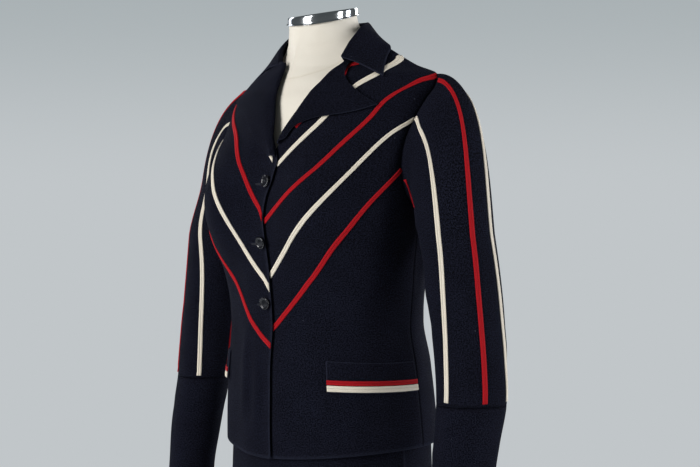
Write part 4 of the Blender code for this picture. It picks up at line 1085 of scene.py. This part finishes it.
# %% Collar
# angle and level of the free edge, the top of the fold in x, y, z, angle and level of the foot
COLLAR_LEFT = np.array([
    [180, 144.3, 0.0, 5.9, 148.8, 180, 146.4],
    [158, 144.3, 2.6, 5.4, 148.8, 154, 146.4],
    [136, 144.5, 4.5, 4.0, 148.7, 130, 146.5],
    [116, 144.7, 5.8, 2.2, 148.4, 108, 146.6],
    [100, 144.6, 6.5, 0.5, 147.8, 88, 146.5],
    [85, 144.2, 6.9, -1.0, 146.8, 68, 146.0],
    [71, 143.4, 7.1, -2.5, 145.6, 53, 144.9],
    [60, 141.9, 7.2, -3.4, 144.6, 47, 143.9],
    [53, 140.6, 7.2, -4.1, 143.7, 43, 143.0],
])
COLLAR_RIGHT = np.array([
    [180, 144.3, 0.0, 5.9, 148.8, 180, 146.4],
    [158, 144.3, 2.6, 5.4, 148.7, 154, 146.4],
    [136, 144.5, 4.4, 4.0, 148.5, 130, 146.4],
    [116, 144.7, 5.6, 2.4, 148.1, 108, 146.5],
    [98, 144.0, 6.1, 0.6, 147.5, 88, 146.4],
    [82, 143.3, 6.2, -1.0, 146.8, 66, 146.0],
    [68, 142.9, 5.8, -2.5, 145.9, 48, 145.2],
    [58, 142.3, 5.0, -3.9, 144.9, 38, 144.5],
    [50, 141.6, 4.0, -5.1, 143.9, 28, 143.6],
    [44, 140.8, 3.1, -6.1, 142.9, 19, 142.6],
])


def collar_lines(sign, table):
    """Seven points across the collar at each row of a table."""
    turn, level = np.radians(table[:, 0]), table[:, 1]
    foot_turn, foot_level = np.radians(table[:, 5]), table[:, 6]
    free = body(sign * turn, level) + normal(sign * turn, level) * (curve(EASE, 1, level) + 0.45)[:, None]
    foot = body(sign * foot_turn, foot_level) + normal(sign * foot_turn, foot_level) * 0.40
    top = table[:, 2:5] * (sign, 1, 1)
    way = unit((top + (0, 0.5, 0)) * (1, 1, 0))
    neck_side = foot * 0.25 + (top - way * 0.30) * 0.75 + (0, 0, -0.1)
    fold_out = top + way * 0.40 + (0, 0, -0.25)
    across = free - fold_out
    upper, lower = fold_out + across * 0.35 + (0, 0, 0.2), fold_out + across * 0.70 + (0, 0, 0.12)
    return np.stack([foot, neck_side, top, fold_out, upper, lower, free], 1)


def collar(long=150, wide=42):
    """The lines of both tables joined round the neck, then each joined across, from foot to free edge."""
    lines = np.concatenate([collar_lines(-1, COLLAR_RIGHT[::-1]), collar_lines(1, COLLAR_LEFT[1:])])
    rows = through(lines.reshape(len(lines), -1), np.linspace(0, len(lines) - 1, long)).reshape(long, 7, 3)
    grid = through(rows.transpose(1, 0, 2).reshape(7, -1), np.linspace(0, 6, wide)).reshape(wide, long, 3)
    outer = grid.transpose(1, 0, 2)
    inner = outer - outward(outer, 75, 30, (0, 0, 1)) * THIN_CLOTH
    piece = wall("collar", outer, inner, cloth_map(outer, wide - 1), NAVY)
    declare(piece, outer)


collar()

# %% [markdown]
# Each pocket has a flap that hangs over it, with a red and a cream band along its lower edge. The flap is
# the front's own surface moved out, a little more towards the bottom, so that it stands off as a real flap
# does.

# %% Pocket flaps
FLAP_FROM, FLAP_TO, FLAP_TOP, FLAP_BOTTOM, FLAP_DROP = 39.5, 95.0, 101.4, 97.45, 0.5
# colour, level of the middle, width
FLAP_BANDS = (("red", 98.78, 0.66), ("cream", 97.98, 0.84))


def flap_point(side, own, level, more):
    """A point on the front moved out by more and by the flap's slack, on a line that drops to the side."""
    slack = 0.10 * (FLAP_TOP - level) / (FLAP_TOP - FLAP_BOTTOM)
    lower = FLAP_DROP * (np.degrees(own) - FLAP_FROM) / (FLAP_TO - FLAP_FROM)
    return on_front(side, own, level - lower, more + slack)


for side, word in SIDES:
    across = np.radians(np.linspace(FLAP_FROM + 0.2, FLAP_TO - 0.2, 70))
    own, level = np.meshgrid(across, np.linspace(FLAP_BOTTOM + 0.06, FLAP_TOP, 26))
    top_edge = ramp(level, FLAP_TOP - 0.35, FLAP_TOP)
    outer = flap_point(side, own, level, 0.26 - 0.10 * top_edge)
    flap = wall("pocket_flap_" + word, outer, flap_point(side, own, level, 0.06), cloth_map(outer), NAVY)
    line = np.radians(np.linspace(FLAP_FROM + 0.1, FLAP_TO - 0.1, 90))
    bands = [lay_braid(
        f"flap_{colour}_{word}", lambda a, b, more: flap_point(side, a, b, more + 0.27),
        line, middle + 0 * line, (0.01, 0.15), colour, wide=wide) for colour, middle, wide in FLAP_BANDS]
    declare(flap, outer)

# %% [markdown]
# The buttons are turned: a rim round a sunken middle with a shallow dome. Their holes and the thread in
# them are too small to show. A profile of radius and height is carried round the axis. Beside each button
# the end of its worked buttonhole shows, a slit with stitched lips.

# %% Buttons and buttonholes
BUTTON_RADIUS = 0.88
BUTTON_LEVELS = [126.1, 118.55, 110.0]
BUTTON_X = [2.3, 1.0, 0.65]
SLIT_FROM, SLIT_TO, THREAD_RADIUS = 0.35, 1.75, 0.055
# radius, height
BUTTON_LINE = smooth([
    (0.0, 0.0), (0.60, 0.0), (0.80, 0.06), (BUTTON_RADIUS, 0.20), (0.86, 0.32), (0.79, 0.39), (0.70, 0.37),
    (0.62, 0.30), (0.45, 0.29), (0.25, 0.31), (0.0, 0.32)], 44)
BUTTON_LINE[0, 0] = BUTTON_LINE[-1, 0] = 0.0


def whole_turn(count):
    """Angles evenly round a circle."""
    return np.arange(count) * 2 * math.pi / count


def closed_shape(name, grid, uv, material, marks):
    """A closed tube whose first and last rows each meet in one point; uv has one more column than grid."""
    piece = put(name, grid.reshape(-1, 3), squares(round_again(numbered(grid))), squares(uv), material, marks)
    work = bmesh.new()
    work.from_mesh(piece.data)
    bmesh.ops.remove_doubles(work, verts=work.verts, dist=1e-6)
    bmesh.ops.dissolve_degenerate(work, edges=work.edges, dist=1e-7)
    bmesh.ops.recalc_face_normals(work, faces=work.faces)
    work.to_mesh(piece.data)
    work.free()
    piece.data.polygons.foreach_set("use_smooth", np.ones(len(piece.data.polygons), bool))
    return stand_for(piece, name)


def button(name, centre, axis, around=48):
    """Centre + radius times (cosine, sine) on two directions square to the axis, plus height along it."""
    one = unit(np.cross(axis, [1.0, 0.0, 0.0]))
    two = np.cross(one, axis)
    turn = whole_turn(around)[:, None]
    circle = np.cos(turn) * two + np.sin(turn) * one
    ring = BUTTON_LINE[:, :1, None] * circle + BUTTON_LINE[:, 1:, None] * axis
    uv = round_again(ring) @ np.stack([one, two], -1) * 0.01
    closed_shape(name, centre + ring, uv, CASEIN, {})


def lip(name, own, level, way):
    """One thread lip of a buttonhole: a tube along the slit, its ends closed by rows of faces."""
    across = np.linspace(SLIT_FROM, SLIT_TO, 40)
    share = np.linspace(0, 2 * math.pi, 15)[:-1]
    off = (across - (SLIT_FROM + SLIT_TO) / 2) / 0.72
    wide = THREAD_RADIUS * np.sqrt(np.clip(1 - off**4, 0.02, 1))[:, None]
    a = own + (across[:, None] + 0 * share) / FRONT_RADIUS
    b = level - 0.35 + way * 0.075 + wide * np.cos(share)
    tube = on_front(-1, a, b, 0.03 + wide * (1 + np.sin(share)))
    index = numbered(tube)
    caps = [[ring[k], ring[k + 1], ring[-2 - k], ring[-1 - k]]
            for ring in (index[0], index[-1][::-1]) for k in range(len(share) // 2 - 1)]
    faces = np.concatenate([squares(round_again(index)), caps])
    thread = put(name, tube.reshape(-1, 3), faces, np.zeros((len(faces), 4, 2)), THREAD, {})
    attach(thread, "root")


for number, (level, x) in enumerate(zip(BUTTON_LEVELS, BUTTON_X), 1):
    own = float(angle_at(-x, level))
    out = normal(-own, level)
    turns = whole_turn(8)
    point = on_front(-1, own, level)
    reach = 0.75 * BUTTON_RADIUS
    rim = on_front(-1, own + reach / FRONT_RADIUS * np.cos(turns), level + reach * np.sin(turns))
    lift = max(0.0, ((rim - point) * out).sum(1).max())
    button(f"button_{number}", point + out * (lift + 0.06), out)
    lip(f"buttonhole_{number}_low", own, level, -1)
    lip(f"buttonhole_{number}_high", own, level, 1)
print("buttons:", len(BUTTON_LEVELS))

# %% [markdown]
# The form is one closed padded shape, covered in jersey. It is the body surface itself, rounded in at the
# bottom, with a fine groove for the seam round the foot of the neck, which a number on the points marks for
# the jersey. The polished cap closes the neck.

# %% Form and neck cap
FORM_BOTTOM = [76.0, 76.2, 76.6, 77.2, 78.0]
FORM_TOP = 149.05
# degrees from the front, level of the seam round the neck
NECK_SEAM = np.array([
    [0, 141.1], [10, 141.3], [20, 141.8], [31, 142.5], [41, 143.4], [60, 145.0], [90, 146.6], [130, 147.0],
    [180, 147.0],
])


def form(around=128):
    """Rings of the body from the bottom to the neck, closed by a point at each end."""
    level = np.concatenate([FORM_BOTTOM, np.linspace(80, 134, 55), np.linspace(135, FORM_TOP, 90)])
    inset = np.interp(level, FORM_BOTTOM + [80.0], [3.2, 2.0, 1.2, 0.6, 0.3, 0.04])
    angle, at = np.meshgrid(whole_turn(around), level)
    seam_level = np.interp(np.abs(turn_between(np.degrees(angle), 0)), *NECK_SEAM.T)
    groove = np.exp(-(((at - seam_level) / 0.12) ** 2))
    points = body(angle, at) - normal(angle, at) * (inset[:, None] + 0.05 * groove)[..., None]
    points[:, :, 2] = np.where(at < 80, at, points[:, :, 2])
    ends = [points[:1] * 0 + place for place in ((0, 1.0, FORM_BOTTOM[0]), (0, -0.5, FORM_TOP))]
    grid = np.concatenate([ends[0], points, ends[1]])
    seam = np.concatenate([groove[:1] * 0, groove, groove[:1] * 0]) * 0.35
    up = np.concatenate([[0.75], level * 0.01, [1.49]])
    uv = np.stack(np.meshgrid(np.linspace(0, 0.9, around + 1), up), -1)
    closed_shape("form_body", grid, uv, JERSEY, {"seam": seam})


form()
# radius, share of the way from the sloping foot plane to the sloping top plane, lift
CAP_LINE = smooth([
    (0.0, 0.0, 0.0), (4.80, 0.0, 0.0), (4.93, 0.0, 0.06), (4.96, 0.12, 0.06), (4.96, 0.80, 0.0),
    (4.92, 0.96, 0.0), (4.80, 1.0, 0.02), (4.6, 1.0, 0.03), (2.0, 1.0, 0.05), (0.0, 1.0, 0.06)], 70)


def neck_cap(around=96):
    """A short cylinder between two planes: the foot slopes with the neck, the top towards the camera."""
    turn = whole_turn(around)
    x, y = CAP_LINE[:, :1] * np.sin(turn), CAP_LINE[:, :1] * np.cos(turn)
    foot, top = 149.11 + 0.22 * y, 150.02 + 0.0565 * x + 0.158 * y
    grid = np.stack([x, y - 0.5, foot + (top - foot) * CAP_LINE[:, 1:2] + CAP_LINE[:, 2:]], -1)
    closed_shape("neck_cap", grid, round_again(grid)[..., :2] * 0.01, CHROME, {})


neck_cap()

# %% [markdown]
# The skirt hangs from the waist in soft flutes that grow towards the hem. Only its top shows in the photo;
# the rest is plain, as such skirts are. Its height above the form is a small ease plus two slow waves round
# the body, scaled by how far down we are.

# %% Skirt
SKIRT_HEM, SKIRT_TOP, BAND_TOP = 34.0, 106.3, 109.3
SEAM_TURN, SEAM_GAP = math.radians(85), 0.003


def skirt_height(angle, level):
    """Ease plus flutes: two cosines of the angle, growing with the drop below the hip."""
    drop = np.clip((84.0 - level) / 50.0, 0, 1) ** 1.6
    return 0.27 + 0.75 * drop * (np.cos(7 * angle + 0.6) + 0.35 * np.cos(3 * angle - 1.1))


SKIRT_PARTS = (("skirt_front", -SEAM_TURN, SEAM_TURN), ("skirt_back", SEAM_TURN, 2 * math.pi - SEAM_TURN))
for name, start, end in SKIRT_PARTS:
    turn = np.linspace(start + SEAM_GAP, end - SEAM_GAP, 120)
    angle, level = np.meshgrid(turn, np.linspace(SKIRT_HEM + 0.06, SKIRT_TOP, 110))
    high = skirt_height(angle, level)
    piece, outer = over_form(name, angle, level, high, THIN_CLOTH, 60, SKIRT_NAVY)
    declare(piece, outer)

angle, level = np.meshgrid(whole_turn(112), np.linspace(SKIRT_TOP + 0.06, BAND_TOP, 10))
piece, band = over_form("skirt_waistband", angle, level, 0.30, CLOTH, 0, SKIRT_NAVY, closed=True)
declare(piece, band, closed=True)

# %% [markdown]
# The pole and the base keep the frame's own shapes, which are right as they are. They only get their
# finishes: brushed steel that blurs what it mirrors, and enamel with a faint orange peel.

# %% Pole and base
for node, material in (("stand_pole", STEEL), ("stand_base", ENAMEL)):
    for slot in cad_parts[node].material_slots:
        slot.material = material
    print(node, "->", material.name)

# %% [markdown]
# A plain pale floor and a plain grey room. The floor is a disc that stops before it would enter the photo's
# view, because in the photo the ground is out of the picture. The room is the world's own colour, paler low
# down and greyer above, as a lit studio wall is. The camera sees it in full, but as a light it counts for a
# fifth, which keeps the shadow between sleeve and body deep.

# %% Floor and room
FLOOR_RADIUS, FLOOR_LEVEL = 3.2, -0.0005
turn = whole_turn(96)
floor_mesh = bpy.data.meshes.new("floor")
ring = np.stack([FLOOR_RADIUS * np.cos(turn), FLOOR_RADIUS * np.sin(turn), 0 * turn + FLOOR_LEVEL], -1)
floor_mesh.from_pydata(ring.tolist(), [], [list(range(96))])
floor = show("floor", floor_mesh)
painted, tree = new_material("pale_floor_paint", Roughness=0.7, Specular_IOR_Level=0.2)
spots = noise(tree, add(tree, "ShaderNodeTexCoord").outputs["Object"], 3.0, 4.0)
tree.links.new(blend(tree, spots, "#c2c7ca", "#cdd1d4"), tree.nodes["Principled BSDF"].inputs["Base Color"])
floor_mesh.materials.append(painted)
floor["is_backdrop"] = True

world = bpy.data.worlds.new("studio")
bpy.context.scene.world = world
world.use_nodes = True
tree = world.node_tree
way = add(tree, "ShaderNodeTexCoord").outputs["Generated"]
upward = add(tree, "ShaderNodeSeparateXYZ", {0: way}).outputs[2]
links = {"Value": upward, "From Min": -0.03, "From Max": 0.10}
share = add(tree, "ShaderNodeMapRange", links, interpolation_type="SMOOTHSTEP").outputs[0]
seen = add(tree, "ShaderNodeLightPath").outputs["Is Camera Ray"]
strength = add(tree, "ShaderNodeMapRange", {"Value": seen, "To Min": 0.2, "To Max": 1.0}).outputs[0]
tree.links.new(blend(tree, share, "#c1c6c9", "#a8b0b3"), tree.nodes["Background"].inputs[0])
tree.links.new(strength, tree.nodes["Background"].inputs[1])

# %% [markdown]
# Soft studio light. A tall key stands in front of the suit, to the camera's left, and a side light to its
# right. Two tall rim lights draw a pale line along the sleeves, where the nap of the wool catches them, and
# one more behind lifts the shoulders from the wall.

# %% Lights
def softbox(name, place, target, size, power, tint="#ffffff"):
    """An oblong area light at place, turned to target; size in metres, power in watts."""
    data = bpy.data.lights.new(name, "AREA")
    data.shape = "RECTANGLE"
    data.size, data.size_y = size
    data.energy = power
    data.color = linear(tint)[:3]
    thing = show(name, data)
    thing.location = place
    thing.rotation_euler = (Vector(target) - Vector(place)).to_track_quat("-Z", "Y").to_euler()


softbox("key", (-0.5, -3.3, 2.0), (0, 0, 1.2), (1.3, 2.6), 122)
softbox("side", (3.2, 0.75, 1.75), (0, 0, 1.2), (0.8, 2.4), 46)
softbox("rim_right", (2.4, 2.6, 1.8), (0.2, 0, 1.1), (0.9, 2.2), 68, "#f4f7ff")
softbox("behind", (-1.0, 3.4, 2.3), (0, 0, 1.0), (1.6, 1.6), 40)
softbox("rim_left", (-2.9, 0.2, 1.9), (-0.2, 0, 1.1), (0.9, 2.2), 26, "#f4f7ff")

# %% Size of the scene
low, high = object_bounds()
print("size", [round(v, 4) for v in (high - low)])
